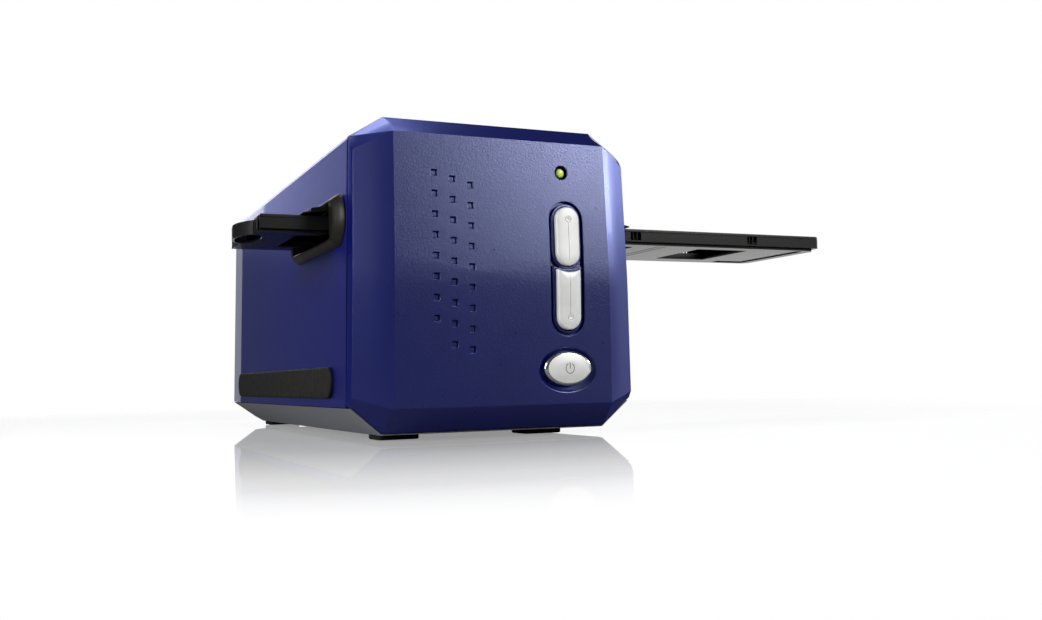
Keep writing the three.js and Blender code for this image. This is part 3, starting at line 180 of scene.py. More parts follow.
class Bench:
    """Tools that shape one piece at a time, as is done by hand."""

    def __init__(self) -> None:
        """Finds the body's own origin from where the main cover starts."""
        low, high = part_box("main_cover")
        self.origin = Vector(((low[0] + high[0]) / 2, low[1] - MAIN_COVER_START * MM, 0))

    def place(self, point: Vector) -> Vector:
        """Turns a point of the body, in millimetres, into metres in the frame."""
        return self.origin + point * MM

    def adopt(self, name: str) -> Piece:
        """Names the active object and its mesh.

        Args:
            name: the name of both.

        Returns:
            The active object.
        """
        piece = bpy.context.active_object
        piece.name = piece.data.name = name
        return piece

    def only(self, piece: Piece) -> None:
        """Selects one piece alone and makes it active.

        Args:
            piece: the piece.
        """
        bpy.ops.object.select_all(action="DESELECT")
        piece.select_set(True)
        bpy.context.view_layer.objects.active = piece

    @contextmanager
    def editing(self, piece: Piece) -> Iterator[None]:
        """Opens a piece's mesh for editing with nothing selected, and closes it again.

        Args:
            piece: the piece.

        Yields:
            Nothing, while the mesh is open.
        """
        self.only(piece)
        bpy.ops.object.mode_set(mode="EDIT")
        bpy.ops.mesh.select_all(action="DESELECT")
        yield
        bpy.ops.object.mode_set(mode="OBJECT")

    def _shape_ring(self, piece: Piece, before: list[Vector], after: list[Vector]) -> None:
        """Moves each corner of the selected ring from its old place to its new one.

        Args:
            piece: the piece being edited.
            before: the ring's places now, in order.
            after: the places they move to, in the same order.
        """
        mesh = bmesh.from_edit_mesh(piece.data)
        ring = [v for v in mesh.verts if v.select]
        order = [min(((v.co - p).length_squared, v.index) for v in ring)[1] for p in before]
        for index, target in zip(order, after):
            mesh.verts.ensure_lookup_table()
            for vert in mesh.verts:
                vert.select = vert.index == index
            mesh.select_flush(False)
            bpy.ops.transform.translate(value=target - mesh.verts[index].co)
            mesh = bmesh.from_edit_mesh(piece.data)
        mesh.verts.ensure_lookup_table()
        for index in order:
            mesh.verts[index].select = True
        mesh.select_flush(True)
        bmesh.update_edit_mesh(piece.data)

    def loft(self, name: str, axis: Axis,
             sections: Sequence[tuple[float | Sequence[float], Outline]]) -> Piece:
        """Extrudes a ring from section to section into a closed piece.

        Args:
            name: the piece's name.
            axis: the axis that the sections lie across.
            sections: each section's place along the axis, or one for each of its points, and its outline,
                with as many points each.

        Returns:
            The closed piece, its faces outwards.
        """
        rings = []
        for at, outline in sections:
            places = at if isinstance(at, Sequence) else [at] * len(outline)
            rings.append([self.place(axis.point(a, u, v)) for a, (u, v) in zip(places, outline)])
        count = len(rings[0])
        bpy.ops.object.select_all(action="DESELECT")
        bpy.ops.mesh.primitive_circle_add(vertices=count, radius=1, fill_type="NGON")
        piece = self.adopt(name)
        start = [v.co.copy() for v in piece.data.vertices]
        with self.editing(piece):
            bpy.ops.mesh.select_all(action="SELECT")
            self._shape_ring(piece, start, rings[0])
            for before, after in zip(rings, rings[1:]):
                bpy.ops.mesh.extrude_region_move()
                self._shape_ring(piece, before, after)
            bpy.ops.mesh.select_all(action="SELECT")
            bpy.ops.mesh.remove_doubles(threshold=MERGE)
            bpy.ops.mesh.normals_make_consistent(inside=False)
        return piece

    def prism(self, name: str, axis: Axis, outline: Outline, start: float, end: float) -> Piece:
        """Makes a straight piece of one outline between two places along an axis."""
        return self.loft(name, axis, [(start, outline), (end, outline)])

    def flared(self, name: str, axis: Axis, outline: Callable[[float], Outline],
               steps: Sequence[Point]) -> Piece:
        """Lofts an outline, given grown by a margin, from pairs of a place and a margin."""
        return self.loft(name, axis, [(at, outline(grow)) for at, grow in steps])

    def block(self, name: str, low: Place, high: Place) -> Piece:
        """Makes a box between two corners, to be shaped further or used as a cutter.

        Args:
            name: the piece's name.
            low: its lowest corner.
            high: its highest corner.

        Returns:
            The box with its place in its mesh.
        """
        a, b = self.place(Vector(low)), self.place(Vector(high))
        bpy.ops.object.select_all(action="DESELECT")
        bpy.ops.mesh.primitive_cube_add(size=1, location=(a + b) / 2, scale=b - a)
        piece = self.adopt(name)
        bpy.ops.object.transform_apply(location=True, rotation=True, scale=True)
        return piece

    def round_edges(self, piece: Piece, width: float, segments: int = 3,
                    choose: Callable[[Vector, Vector], bool] | None = None, angle: float = 20) -> None:
        """Bevels the edges that turn by more than an angle, or those of them that a test chooses.

        Args:
            piece: the piece to bevel.
            width: the bevel's width.
            segments: faces across the bevel.
            choose: test on an edge's two ends in the body's millimetres.
            angle: least angle between an edge's faces, in degrees.
        """
        with self.editing(piece):
            mesh = bmesh.from_edit_mesh(piece.data)
            for edge in mesh.edges:
                ends = [(v.co - self.origin) / MM for v in edge.verts]
                turn = edge.calc_face_angle(0) > math.radians(angle)
                edge.select = turn and (choose is None or choose(*ends))
            bmesh.update_edit_mesh(piece.data)
            bpy.ops.mesh.bevel(offset=width * MM, segments=segments, profile=0.5, clamp_overlap=True)

    def carve(self, piece: Piece, *tools: Piece, join: bool = False) -> None:
        """Cuts tools out of a piece, or joins them to it, and removes the tools.

        Args:
            piece: the piece that stays.
            tools: the cutters, or the parts to be joined.
            join: True joins instead of cutting.
        """
        self.only(piece)
        for tool in tools:
            modifier = piece.modifiers.new("carve", "BOOLEAN")
            modifier.operation = "UNION" if join else "DIFFERENCE"
            modifier.solver = "EXACT"
            modifier.object = tool
            bpy.ops.object.modifier_apply(modifier=modifier.name)
        for tool in tools:
            bpy.data.objects.remove(tool)

    def copy(self, piece: Piece, name: str, shift: Place = (0, 0, 0), mirror: bool = False) -> Piece:
        """Copies a piece with a mesh of its own.

        Args:
            piece: the piece to copy.
            name: the copy's name.
            shift: how far the copy moves.
            mirror: True turns the copy over the body's middle plane first.

        Returns:
            The copy.
        """
        self.only(piece)
        bpy.ops.object.duplicate(linked=False)
        twin = self.adopt(name)
        with self.editing(twin):
            bpy.ops.mesh.select_all(action="SELECT")
            if mirror:
                bpy.ops.transform.resize(value=(-1, 1, 1), center_override=self.origin)
                bpy.ops.mesh.normals_make_consistent(inside=False)
            bpy.ops.transform.translate(value=Vector(shift) * MM)
        return twin

    def gather(self, name: str, *parts: Piece) -> Piece:
        """Puts several loose parts into one object.

        Args:
            name: the object's name.
            parts: the parts, which don't touch.

        Returns:
            The one object.
        """
        bpy.ops.object.select_all(action="DESELECT")
        for part in parts:
            part.select_set(True)
        bpy.context.view_layer.objects.active = parts[0]
        if len(parts) > 1:
            bpy.ops.object.join()
        return self.adopt(name)

    def warp(self, piece: Piece, low: Vector, high: Vector, counts: tuple[int, int, int],
             push: Callable[[Vector], float]) -> None:
        """Pushes a piece along Y inside a lattice.

        Args:
            piece: the piece to push.
            low: the lattice's lowest corner.
            high: its highest corner.
            counts: its points along each axis.
            push: how far a point at a place moves along Y.
        """
        data = bpy.data.lattices.new("cage")
        data.points_u, data.points_v, data.points_w = counts
        data.interpolation_type_u = data.interpolation_type_v = data.interpolation_type_w = "KEY_LINEAR"
        size = high - low
        for point in data.points:
            share = point.co + Vector((0.5, 0.5, 0.5))
            at = Vector(a + s * b for a, s, b in zip(low, share, size))
            point.co_deform = point.co + Vector((0, push(at) / size.y, 0))
        cage = bpy.data.objects.new("cage", data)
        bpy.context.scene.collection.objects.link(cage)
        cage.location = self.place((low + high) / 2)
        cage.scale = size * MM
        bpy.context.view_layer.update()
        self.only(piece)
        modifier = piece.modifiers.new("warp", "LATTICE")
        modifier.object = cage
        bpy.ops.object.modifier_apply(modifier=modifier.name)
        bpy.data.objects.remove(cage)

    def clean(self, piece: Piece) -> None:
        """Merges doubles, dissolves slivers and turns the faces outwards.

        Args:
            piece: the piece to clean.
        """
        with self.editing(piece):
            bpy.ops.mesh.select_all(action="SELECT")
            bpy.ops.mesh.remove_doubles(threshold=MERGE)
            bpy.ops.mesh.dissolve_degenerate(threshold=MERGE)
            bpy.ops.mesh.normals_make_consistent(inside=False)

    def smooth(self, piece: Piece, angle: float) -> None:
        """Smooths the shading below an angle and evens it out by face size.

        Args:
            piece: the piece to shade.
            angle: edges that turn by more stay sharp, in degrees.
        """
        self.only(piece)
        bpy.ops.object.shade_smooth_by_angle(angle=math.radians(angle), keep_sharp_edges=False)
        modifier = piece.modifiers.new("weight", "WEIGHTED_NORMAL")
        modifier.keep_sharp = True
        bpy.ops.object.modifier_apply(modifier=modifier.name)

    def finish(self, piece: Piece, angle: float = 32) -> None:
        """Cleans a piece and smooths its shading below an angle."""
        self.clean(piece)
        self.smooth(piece, angle)

    def pipe(self, name: str, axis: Axis, cu: float, cv: float, profile: Sequence[Point],
             sides: int = PIPE_SIDES) -> Piece:
        """Makes a round piece along an axis from pairs of a place along it and the radius there."""
        return self.loft(name, axis, [(at, ellipse(cu, cv, r, r, sides)) for at, r in profile])


bench = Bench()


class Sheet:
    """A material's or the world's node sheet, with short calls for its usual nodes."""

    def __init__(self, name: str, world: bool = False) -> None:
        """Opens a new material with its shader and Object coordinates, or a new world.

        Args:
            name: its name.
            world: True opens a world.
        """
        self.owner = (bpy.data.worlds if world else bpy.data.materials).new(name)
        self.owner.use_nodes = True
        self.nodes, self.links = self.owner.node_tree.nodes, self.owner.node_tree.links
        self.nodes.clear()
        self.output = self.node("OutputWorld" if world else "OutputMaterial")
        if not world:
            self.shader = self.node("BsdfPrincipled")
            self.show(self.shader.outputs["BSDF"])
            self.coordinates = self.node("TexCoord").outputs["Object"]

    def show(self, source: Socket) -> None:
        """Links a shader's output to the sheet's own."""
        self.links.new(source, self.output.inputs["Surface"])

    def set(self, **values: float | tuple[float, ...]) -> None:
        """Sets constants on the shader's own sockets, with _ for the spaces in their names."""
        for socket, value in values.items():
            self.shader.inputs[socket.replace("_", " ")].default_value = value

    def feed(self, socket: str, source: Socket) -> None:
        """Links an output to a socket of the shader."""
        self.links.new(source, self.shader.inputs[socket])

    def put(self, socket: Socket, value: object) -> None:
        """Links an output to a socket, or sets a constant on it.

        Args:
            socket: the socket.
            value: the output or the constant.
        """
        if isinstance(value, Socket):
            self.links.new(value, socket)
        else:
            socket.default_value = value

    def node(self, kind: str, settings: dict[str, object] | None = None, **inputs: object) -> bpy.types.Node:
        """Adds a node.

        Args:
            kind: the node's type without its common first part.
            settings: properties of the node.
            inputs: constants or linked outputs by socket name, with _ for spaces.

        Returns:
            The node.
        """
        node = self.nodes.new(f"ShaderNode{kind}")
        for key, value in (settings or {}).items():
            setattr(node, key, value)
        for key, value in inputs.items():
            self.put(node.inputs[key.replace("_", " ")], value)
        return node

    def math(self, operation: str, *factors: float | Socket) -> Socket:
        """Combines factors by an operation of the Math node.

        Args:
            operation: the operation's name.
            factors: outputs or constants, in the order of the node's inputs.

        Returns:
            The result.
        """
        node = self.node("Math", {"operation": operation})
        for socket, value in zip(node.inputs, factors):
            self.put(socket, value)
        return node.outputs[0]

    def stretched(self, x: float, y: float, z: float) -> Socket:
        """Gives Object coordinates scaled along each axis."""
        return self.node("Mapping", Vector=self.coordinates, Scale=(x, y, z)).outputs["Vector"]

    def noise(self, size: float, detail: float = 2, roughness: float = 0.5,
              vector: Socket | None = None) -> Socket:
        """Gives a noise from 0 to 1.

        Args:
            size: size of its features in millimetres.
            detail: octaves.
            roughness: weight of the finer octaves.
            vector: other coordinates than the piece's own.

        Returns:
            The noise's factor.
        """
        return self.node(
            "TexNoise", Vector=vector or self.coordinates, Scale=1 / (size * MM), Detail=detail,
            Roughness=roughness,
        ).outputs["Fac"]

    def spread(self, source: Socket, low: float, high: float,
               start: float = 0.3, end: float = 0.7) -> Socket:
        """Maps a factor between two values, the low one at its start and the high one at its end."""
        node = self.node("MapRange", Value=source, From_Min=start, From_Max=end, To_Min=low, To_Max=high)
        return node.outputs["Result"]

    def between(self, factor: Socket, first: tuple[float, ...], second: tuple[float, ...]) -> Socket:
        """Blends two colours.

        Args:
            factor: share of the second.
            first: the first colour.
            second: the second colour.

        Returns:
            The blended colour.
        """
        node = self.node("Mix", {"data_type": "RGBA"})
        for place, value in ((0, factor), (6, first), (7, second)):
            self.put(node.inputs[place], value)
        return node.outputs[2]

    def layered(self, factor: Socket, first: Socket, second: Socket) -> Socket:
        """Blends two shaders.

        Args:
            factor: share of the second.
            first: the first shader.
            second: the second shader.

        Returns:
            The blended shader.
        """
        node = self.node("MixShader", Fac=factor)
        self.put(node.inputs[1], first)
        self.put(node.inputs[2], second)
        return node.outputs["Shader"]

    def fronts(self) -> Socket:
        """Gives 1 where the piece faces the front, and 0 where it turns away from it."""
        normal = self.node("TexCoord").outputs["Normal"]
        return self.spread(self.node("SeparateXYZ", Vector=normal).outputs["Y"], 1, 0, -0.98, -0.9)

    def bump(self, height: Socket, depth: float, strength: float | Socket = 1) -> None:
        """Feeds a height from 0 to 1 to the shader's normal, its real depth in millimetres."""
        node = self.node("Bump", Height=height, Distance=depth * MM, Strength=strength)
        self.feed("Normal", node.outputs["Normal"])


def linear(code: str, alpha: float = 1) -> Colour:
    """Turns a screen colour such as 3b3e72 into linear light."""
    parts = [int(code[i:i + 2], 16) / 255 for i in (0, 2, 4)]
    return tuple(c / 12.92 if c <= 0.04045 else ((c + 0.055) / 1.055) ** 2.4 for c in parts) + (alpha,)


@dataclass(frozen=True)
class Coating:
    """What every finish states.

    Attributes:
        name: the material's name.
        colour: its screen colour.
    """

    name: str
    colour: str


@dataclass(frozen=True)
class MouldedPlastic(Coating):
    """Moulded plastic with an eroded grain, a faint mottle and soft gloss.

    Attributes:
        mottle: the colour of its faint patches.
        gloss: roughness at its shiniest and dullest.
        grain: size of its grain in millimetres.
        depth: depth of its grain in millimetres.
        level: strength of its plain reflection.
        speckle: share of the mottle that follows the grain.
        tint: the colour that its surface gives to all light, more so at a slant.
        front_only: whether its grain is on what faces the front alone.
    """

    mottle: str
    gloss: tuple[float, float] = (0.38, 0.48)
    grain: float = 0.55
    depth: float = 0.03
    level: float = 0.5
    speckle: float = 0.5
    tint: Colour | None = None
    front_only: bool = False

    def make(self) -> bpy.types.Material:
        """Builds the material.

        Returns:
            The material.
        """
        sheet = Sheet(self.name)
        grain = sheet.noise(self.grain, 3, 0.6)
        cells = sheet.node(
            "TexVoronoi", {"feature": "SMOOTH_F1"}, Vector=sheet.coordinates,
            Scale=1 / (self.grain * 1.2 * MM), Smoothness=0.6,
        ).outputs["Distance"]
        height = sheet.math("MULTIPLY_ADD", cells, 0.6, grain)
        patches = sheet.math("MULTIPLY_ADD", grain, self.speckle, sheet.noise(18))
        factor = sheet.spread(patches, 0, 1, 0.2 + self.speckle / 4, 0.8 + self.speckle)
        sheet.feed("Base Color", sheet.between(factor, linear(self.colour), linear(self.mottle)))
        sheet.feed("Roughness", sheet.spread(sheet.noise(6), *self.gloss, 0.1, 0.9))
        sheet.set(Specular_IOR_Level=self.level, IOR=1.5)
        if self.tint:
            sheet.set(Coat_Weight=1, Coat_IOR=1.05, Coat_Tint=self.tint)
        sheet.bump(height, self.depth, sheet.fronts() if self.front_only else 1)
        return sheet.owner


@dataclass(frozen=True)
class SoftRubber(Coating):
    """Matt rubber with a fine sandy surface and a few paler dusty patches.

    Attributes:
        dust: the colour of its paler patches.
    """

    dust: str

    def make(self) -> bpy.types.Material:
        """Builds the material.

        Returns:
            The material.
        """
        sheet = Sheet(self.name)
        dust = sheet.spread(sheet.noise(7, 4, 0.7), 0, 1, 0.42, 0.8)
        sheet.feed("Base Color", sheet.between(dust, linear(self.colour), linear(self.dust)))
        sheet.feed("Roughness", sheet.spread(sheet.noise(3), 0.62, 0.8))
        sheet.set(Specular_IOR_Level=0.2)
        sheet.bump(sheet.noise(0.3, 3, 0.7), 0.03)
        return sheet.owner


@dataclass(frozen=True)
class Plating(Coating):
    """A metal coat on plastic or steel, satin, brushed or bright.

    Attributes:
        metal: how metallic it is.
        gloss: roughness at its shiniest and dullest.
        brushed: how far its fine lines are drawn out along Y, 1 for none.
        depth: depth of its fine lines in millimetres.
    """

    metal: float
    gloss: tuple[float, float]
    brushed: float = 1
    depth: float = 0.004

    def make(self) -> bpy.types.Material:
        """Builds the material.

        Returns:
            The material.
        """
        sheet = Sheet(self.name)
        lines = sheet.noise(0.5, 3, 0.6, sheet.stretched(1, 1 / self.brushed, 1))
        clouds = sheet.noise(9, 3)
        pale = linear(self.colour)
        dull = tuple(c * 0.86 for c in pale[:3]) + (1,)
        sheet.feed("Base Color", sheet.between(sheet.spread(clouds, 0, 1), pale, dull))
        sheet.feed("Roughness", sheet.spread(lines, *self.gloss))
        sheet.set(Metallic=self.metal, IOR=1.5)
        sheet.bump(lines, self.depth)
        return sheet.owner


@dataclass(frozen=True)
class LampLens(Coating):
    """Tinted lamp lens that glows faintly from within.

    Attributes:
        rim: the colour towards its rim.
        glow: strength of its own light.
    """

    rim: str
    glow: float

    def make(self) -> bpy.types.Material:
        """Builds the material.

        Returns:
            The material.
        """
        sheet = Sheet(self.name)
        facing = sheet.node("LayerWeight", Blend=0.45).outputs["Facing"]
        colour = sheet.between(facing, linear(self.colour), linear(self.rim))
        sheet.feed("Base Color", colour)
        sheet.feed("Emission Color", colour)
        sheet.feed("Roughness", sheet.spread(sheet.noise(1.2), 0.12, 0.22))
        sheet.set(Emission_Strength=self.glow, Subsurface_Weight=0.15, Coat_Weight=0.5, Coat_Roughness=0.08)
        return sheet.owner


@dataclass(frozen=True)
class BoardLaminate(Coating):
    """Glass fibre board under lacquer, with copper tracks showing through.

    Attributes:
        track: the colour over copper.
        pitch: spacing of the tracks in millimetres.
    """

    track: str
    pitch: float = 5

    def make(self) -> bpy.types.Material:
        """Builds the material.

        Returns:
            The material.
        """
        sheet = Sheet(self.name)
        tracks = sheet.node(
            "TexBrick", {"offset": 0.35, "squash": 0.6}, Vector=sheet.coordinates, Color1=(0, 0, 0, 1),
            Color2=(0.25, 0.25, 0.25, 1), Mortar=(1, 1, 1, 1), Scale=1 / (self.pitch * MM),
            Mortar_Size=0.045, Brick_Width=0.9, Row_Height=0.35,
        ).outputs["Color"]
        weave = sheet.node("TexWave", Vector=sheet.coordinates, Scale=1 / (1.4 * MM), Distortion=1.5)
        sheet.feed("Base Color", sheet.between(tracks, linear(self.colour), linear(self.track)))
        sheet.feed("Roughness", sheet.spread(sheet.noise(4), 0.3, 0.45))
        sheet.set(Specular_IOR_Level=0.5, Coat_Weight=0.3, Coat_Roughness=0.2)
        sheet.bump(sheet.math("MULTIPLY_ADD", tracks, 2, weave.outputs["Fac"]), 0.02)
        return sheet.owner


@dataclass(frozen=True)
class OpticalGlass(Coating):
    """Clear lens glass with a faint coating colour.

    Attributes:
        coat: the colour of its coating at a slant.
    """

    coat: str

    def make(self) -> bpy.types.Material:
        """Builds the material.

        Returns:
            The material.
        """
        sheet = Sheet(self.name)
        facing = sheet.node("LayerWeight", Blend=0.3).outputs["Facing"]
        sheet.feed("Base Color", sheet.between(facing, linear(self.colour), linear(self.coat)))
        sheet.feed("Roughness", sheet.spread(sheet.noise(8), 0.01, 0.03))
        sheet.set(Transmission_Weight=0.9, IOR=1.52, Coat_Weight=0.4)
        return sheet.owner


BLUE_SHEEN = (0.63, 0.68, 1, 1)
PALE_SHEEN = (0.8, 0.82, 1, 1)
BLACK_SHEEN = (0.8, 0.8, 0.79, 1)


class Finish(Enum):
    """Every finish of the scanner."""

    FRONT = MouldedPlastic("indigo_grained_plastic", "0b134a", "101852", (0.27, 0.29), 0.55, 0.035, 0.95,
                           tint=BLUE_SHEEN, front_only=True)
    SHELL = MouldedPlastic("indigo_shell_plastic", "0c1553", "0e1756", (0.3, 0.32), 0.4, 0.006, 0.85, 0.1,
                           PALE_SHEEN)
    TRAY = MouldedPlastic("grey_tray_plastic", "727478", "76787c", (0.46, 0.5), 0.45, 0.01, 0.3, 0.2)
    BLACK = MouldedPlastic("black_holder_plastic", "161616", "191918", (0.4, 0.46), 0.4, 0.012, 0.25, 0.2,
                           BLACK_SHEEN)
    FRAME = MouldedPlastic("black_frame_plastic", "1c1b19", "201f1c", (0.42, 0.48), 0.5, 0.012, 0.2, 0.25,
                           BLACK_SHEEN)
    INNER = MouldedPlastic("inner_black_plastic", "161616", "1d1d1c", (0.5, 0.6), 0.6, 0.02, 0.4, 0.2)
    PAD = SoftRubber("grip_rubber", "151412", "1c1b18")
    FOOT = SoftRubber("foot_rubber", "0f0f0f", "191918")
    SATIN = Plating("satin_silver", "dededb", 0.15, (0.42, 0.48), 1, 0.004)
    BRIGHT = Plating("bright_silver", "e6e7e6", 1, (0.2, 0.24), 1, 0.001)
    STEEL = Plating("zinc_steel", "a9adb0", 0.95, (0.26, 0.4), 6)
    GOLD = Plating("gold_contact", "c9a44e", 1, (0.2, 0.3))
    LAMP = LampLens("lamp_green", "a4c415", "5c7408", 0.12)
    BOARD = BoardLaminate("circuit_board_green", "14502c", "2c7a48")
    NYLON = MouldedPlastic("natural_nylon", "ded9c8", "e9e5d8", (0.4, 0.5), 0.8, 0.01, 0.5, 0.2)
    GLASS = OpticalGlass("optical_glass", "e4f0f0", "b9a4e6")
    MIRROR = Plating("front_silvered_mirror", "eef1f2", 1, (0.02, 0.04), 1, 0.0005)
    MARK = MouldedPlastic("dark_mark", "54554f", "5d5e58", (0.5, 0.6), 0.3, 0.005, 0.4, 0.2)

    def material(self) -> bpy.types.Material:
        """Gives the finish's material, built once.

        Returns:
            The material.
        """
        if self.value.name not in bpy.data.materials:
            self.value.make()
        return bpy.data.materials[self.value.name]


def dress(piece: Piece, finish: Finish, body: str, slot: str, *nodes: str) -> None:
    """Gives a piece its finish and its body, and hides the nodes that it stands for.

    Args:
        piece: the finished piece.
        finish: its finish.
        body: the body that it rides on.
        slot: not used.
        nodes: the nodes that it replaces.
    """
    piece.data.materials.clear()
    piece.data.materials.append(finish.material())
    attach(piece, body)
    if nodes:
        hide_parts(*nodes)
    log.info("%s: %d faces on %s", piece.name, len(piece.data.polygons), body)


def dress_pair(piece: Piece, finish: Finish, body: str, slot: str, node: str) -> None:
    """Mirrors a left piece and dresses both, with {} for the side in the names.

    Args:
        piece: the finished left piece.
        finish: the finish of both.
        body: the bodies that they ride on.
        slot: the record's material slot.
        node: the nodes that they replace.
    """
    twin = bench.copy(piece, piece.name.replace("left", "right"), mirror=True)
    for one, side in ((piece, Side.LEFT), (twin, Side.RIGHT)):
        dress(one, finish, body.format(side.word), slot, node.format(side.word))


@dataclass
class BodyForm:
    """The body's shared section and length, which its four covers follow."""

    half_bottom: float = 57.4
    lean: float = 1.8
    top: float = 119.3
    top_cut: Point = (12.6, 7.8)
    bottom_cut: float = 12.1
    side_seam: float = 12.3
    tray_bottom: float = 1.8
    tray_rim: float = 0.8
    wall: float = 2.2
    tray_wall: float = 2.2
    gap: float = 0.3
    step: float = 0.2
    corner_rise: float = 2.4
    notch: float = 3.4
    facet_depth: float = 7.5
    facet_rim: float = 1.9
    top_facet: float = 11
    bottom_facet: float = 8.6
    bezel_end: float = 12.8
    bow: float = 3.8
    face_inset: float = 13.4
    face_lean: float = 1.3
    face_drop: float = 7.7
    face_bottom: float = 11.6
    front_wall: float = 3
    depth: float = 272
    rear_length: float = 44
    rear_facet: float = 14
    rear_taper: float = 1.6
    rear_wall: float = 2.4
    rear_floor: float = 6
    over: float = 1

    @property
    def tray_top(self) -> float:
        """Height where the tray ends below the side seam."""
        return self.side_seam - self.gap

    @property
    def cover_near(self) -> float:
        """Where the main cover starts behind the front cover."""
        return self.bezel_end + self.gap

    @property
    def rear_seam(self) -> float:
        """Where the rear cover starts."""
        return self.depth - self.rear_length

    @property
    def rear_shoulder(self) -> float:
        """Where the rear cover starts to draw in."""
        return self.depth - self.rear_facet

    @property
    def face_top(self) -> float:
        """Height of the flat face's upper edge."""
        return self.top - self.face_drop

    @property
    def face_halves(self) -> Point:
        """Half the flat face's width at its bottom and at its top."""
        low = self.half_bottom - self.face_inset
        return low, low - self.face_lean

    def bow_at(self, z: float) -> float:
        """Gives how far the face stands out at a height."""
        share = (2 * z - self.face_top - self.face_bottom) / (self.face_top - self.face_bottom)
        return self.bow * max(0, 1 - share * share)

    def flange_at(self, low: float, high: float) -> float:
        """Gives where a flange between two heights lies behind the front wall."""
        return self.front_wall + self.gap / 2 - min(self.bow_at(low), self.bow_at(high))

    def push(self, at: Vector) -> float:
        """Gives how far a place moves along Y when the face bows, fading out behind its facets.

        Args:
            at: the place.

        Returns:
            The move, negative to the front.
        """
        start = self.facet_depth + self.facet_rim
        share = (self.bezel_end - at.y) / (self.bezel_end - start)
        return -self.bow_at(at.z) * min(1, max(0, share))

    def bend(self, piece: Piece, row: float = 5) -> None:
        """Bows a flat-fronted piece forwards with the face.

        Args:
            piece: the piece.
            row: height of the level rows that its faces are cut into.
        """
        with bench.editing(piece):
            for i in range(int((self.face_top - self.face_bottom) / row) + 1):
                level = bench.place(Vector((0, 0, self.face_bottom + i * row)))
                bpy.ops.mesh.select_all(action="SELECT")
                bpy.ops.mesh.bisect(plane_co=level, plane_no=(0, 0, 1))
        pitch = self.bezel_end - self.facet_depth - self.facet_rim
        low = Vector((-self.half_bottom, self.bezel_end - 6 * pitch, -0.1))
        high = Vector((self.half_bottom, self.bezel_end, self.top + 0.1))
        bench.warp(piece, low, high, (2, 7, 61), self.push)

    def half_at(self, z: float) -> float:
        """Gives half the body's width at a height, its sides leaning in towards the top."""
        rise = (z - self.side_seam) / (self.top - self.top_cut[1] - self.side_seam)
        return self.half_bottom - self.lean * rise

    def upper(self, inset: float, bottom: float, rise: float = 0) -> Outline:
        """Gives the six-cornered outline from a height up to the roof.

        Args:
            inset: how far it is drawn in.
            bottom: its lower edge.
            rise: how much lower its shoulders lie.

        Returns:
            The corners, from the lower left one round to the left shoulder.
        """
        top = self.top - inset
        shoulder = top - self.top_cut[1] - rise
        low = self.half_at(bottom) - inset
        high = self.half_bottom - self.lean - inset
        cut = high - self.top_cut[0]
        return [(-low, bottom), (low, bottom), (high, shoulder), (cut, top), (-cut, top), (-high, shoulder)]

    def front(self, inset: float, rise: float = 0) -> Outline:
        """Gives the eight-cornered outline of the front cover, with a place just below each shoulder.

        Args:
            inset: how far it is drawn in.
            rise: how much lower its knees and shoulders lie.

        Returns:
            The ten places, from the lower left one round.
        """
        bottom = self.tray_bottom + self.tray_rim + inset
        knee = bottom + self.side_seam - self.tray_bottom + rise
        half = self.half_at(knee) - inset - self.bottom_cut
        first, low, shoulder, *roof, last = self.upper(inset, knee, rise)
        z = shoulder[1] - self.notch
        x = shoulder[0] + (low[0] - shoulder[0]) * self.notch / (shoulder[1] - low[1])
        return [(-half, bottom), (half, bottom), low, (x, z), shoulder, *roof, last, (-x, z), first]

    def face(self, inset: float, bottom: float | None = None) -> Outline:
        """Gives the four corners of the flat face, drawn in by an inset.

        Args:
            inset: how far it is drawn in.
            bottom: height of its lower edge if it isn't the usual one.

        Returns:
            The corners, from the lower left one round.
        """
        low, high = self.face_halves
        z = self.face_bottom + inset if bottom is None else bottom
        top = self.face_top - inset
        return [(inset - low, z), (low - inset, z), (high - inset, top), (inset - high, top)]

    def face_paired(self, inset: float) -> Outline:
        """Gives the flat face's corners paired with the front outline's ten places."""
        a, b, c, d = self.face(inset)
        return [a, b, b, c, c, c, d, d, d, a]

    def facets(self, inset: float = 0) -> tuple[list[float], Outline]:
        """Gives where the facets round the face end, and their outline there, drawn in by an inset.

        Args:
            inset: how far it is drawn in.

        Returns:
            The ten places along Y and the outline.
        """
        wide = self.front(inset + self.step, self.corner_rise)
        wide[4:8] = self.front(inset)[4:8]
        bottom, side, top = self.bottom_facet, self.facet_depth, self.top_facet
        shoulder = self.bezel_end
        return [bottom, bottom, side, side, shoulder, top, top, shoulder, side, side], wide

    def rim(self) -> tuple[list[float], Outline]:
        """Gives where the narrow band behind the facets ends, and the outline there.

        Returns:
            The ten places along Y and the outline.
        """
        ends = self.facets()[0]
        places = [place + self.facet_rim for place in ends]
        places[4:8] = ends[4:8]
        return places, self.front(0)

    def tray(self, inset: float, top: float, floor: float | None = None) -> Outline:
        """Gives the tray's four corners with its sides sloping out to the seam.

        Args:
            inset: how far it is drawn in.
            top: its upper edge.
            floor: height of its floor if it isn't the usual one.

        Returns:
            The corners, from the lower left one round.
        """
        bottom = self.tray_bottom + inset if floor is None else floor
        low = self.half_bottom - inset
        return [(self.bottom_cut - low, bottom), (low - self.bottom_cut, bottom), (low, top), (-low, top)]


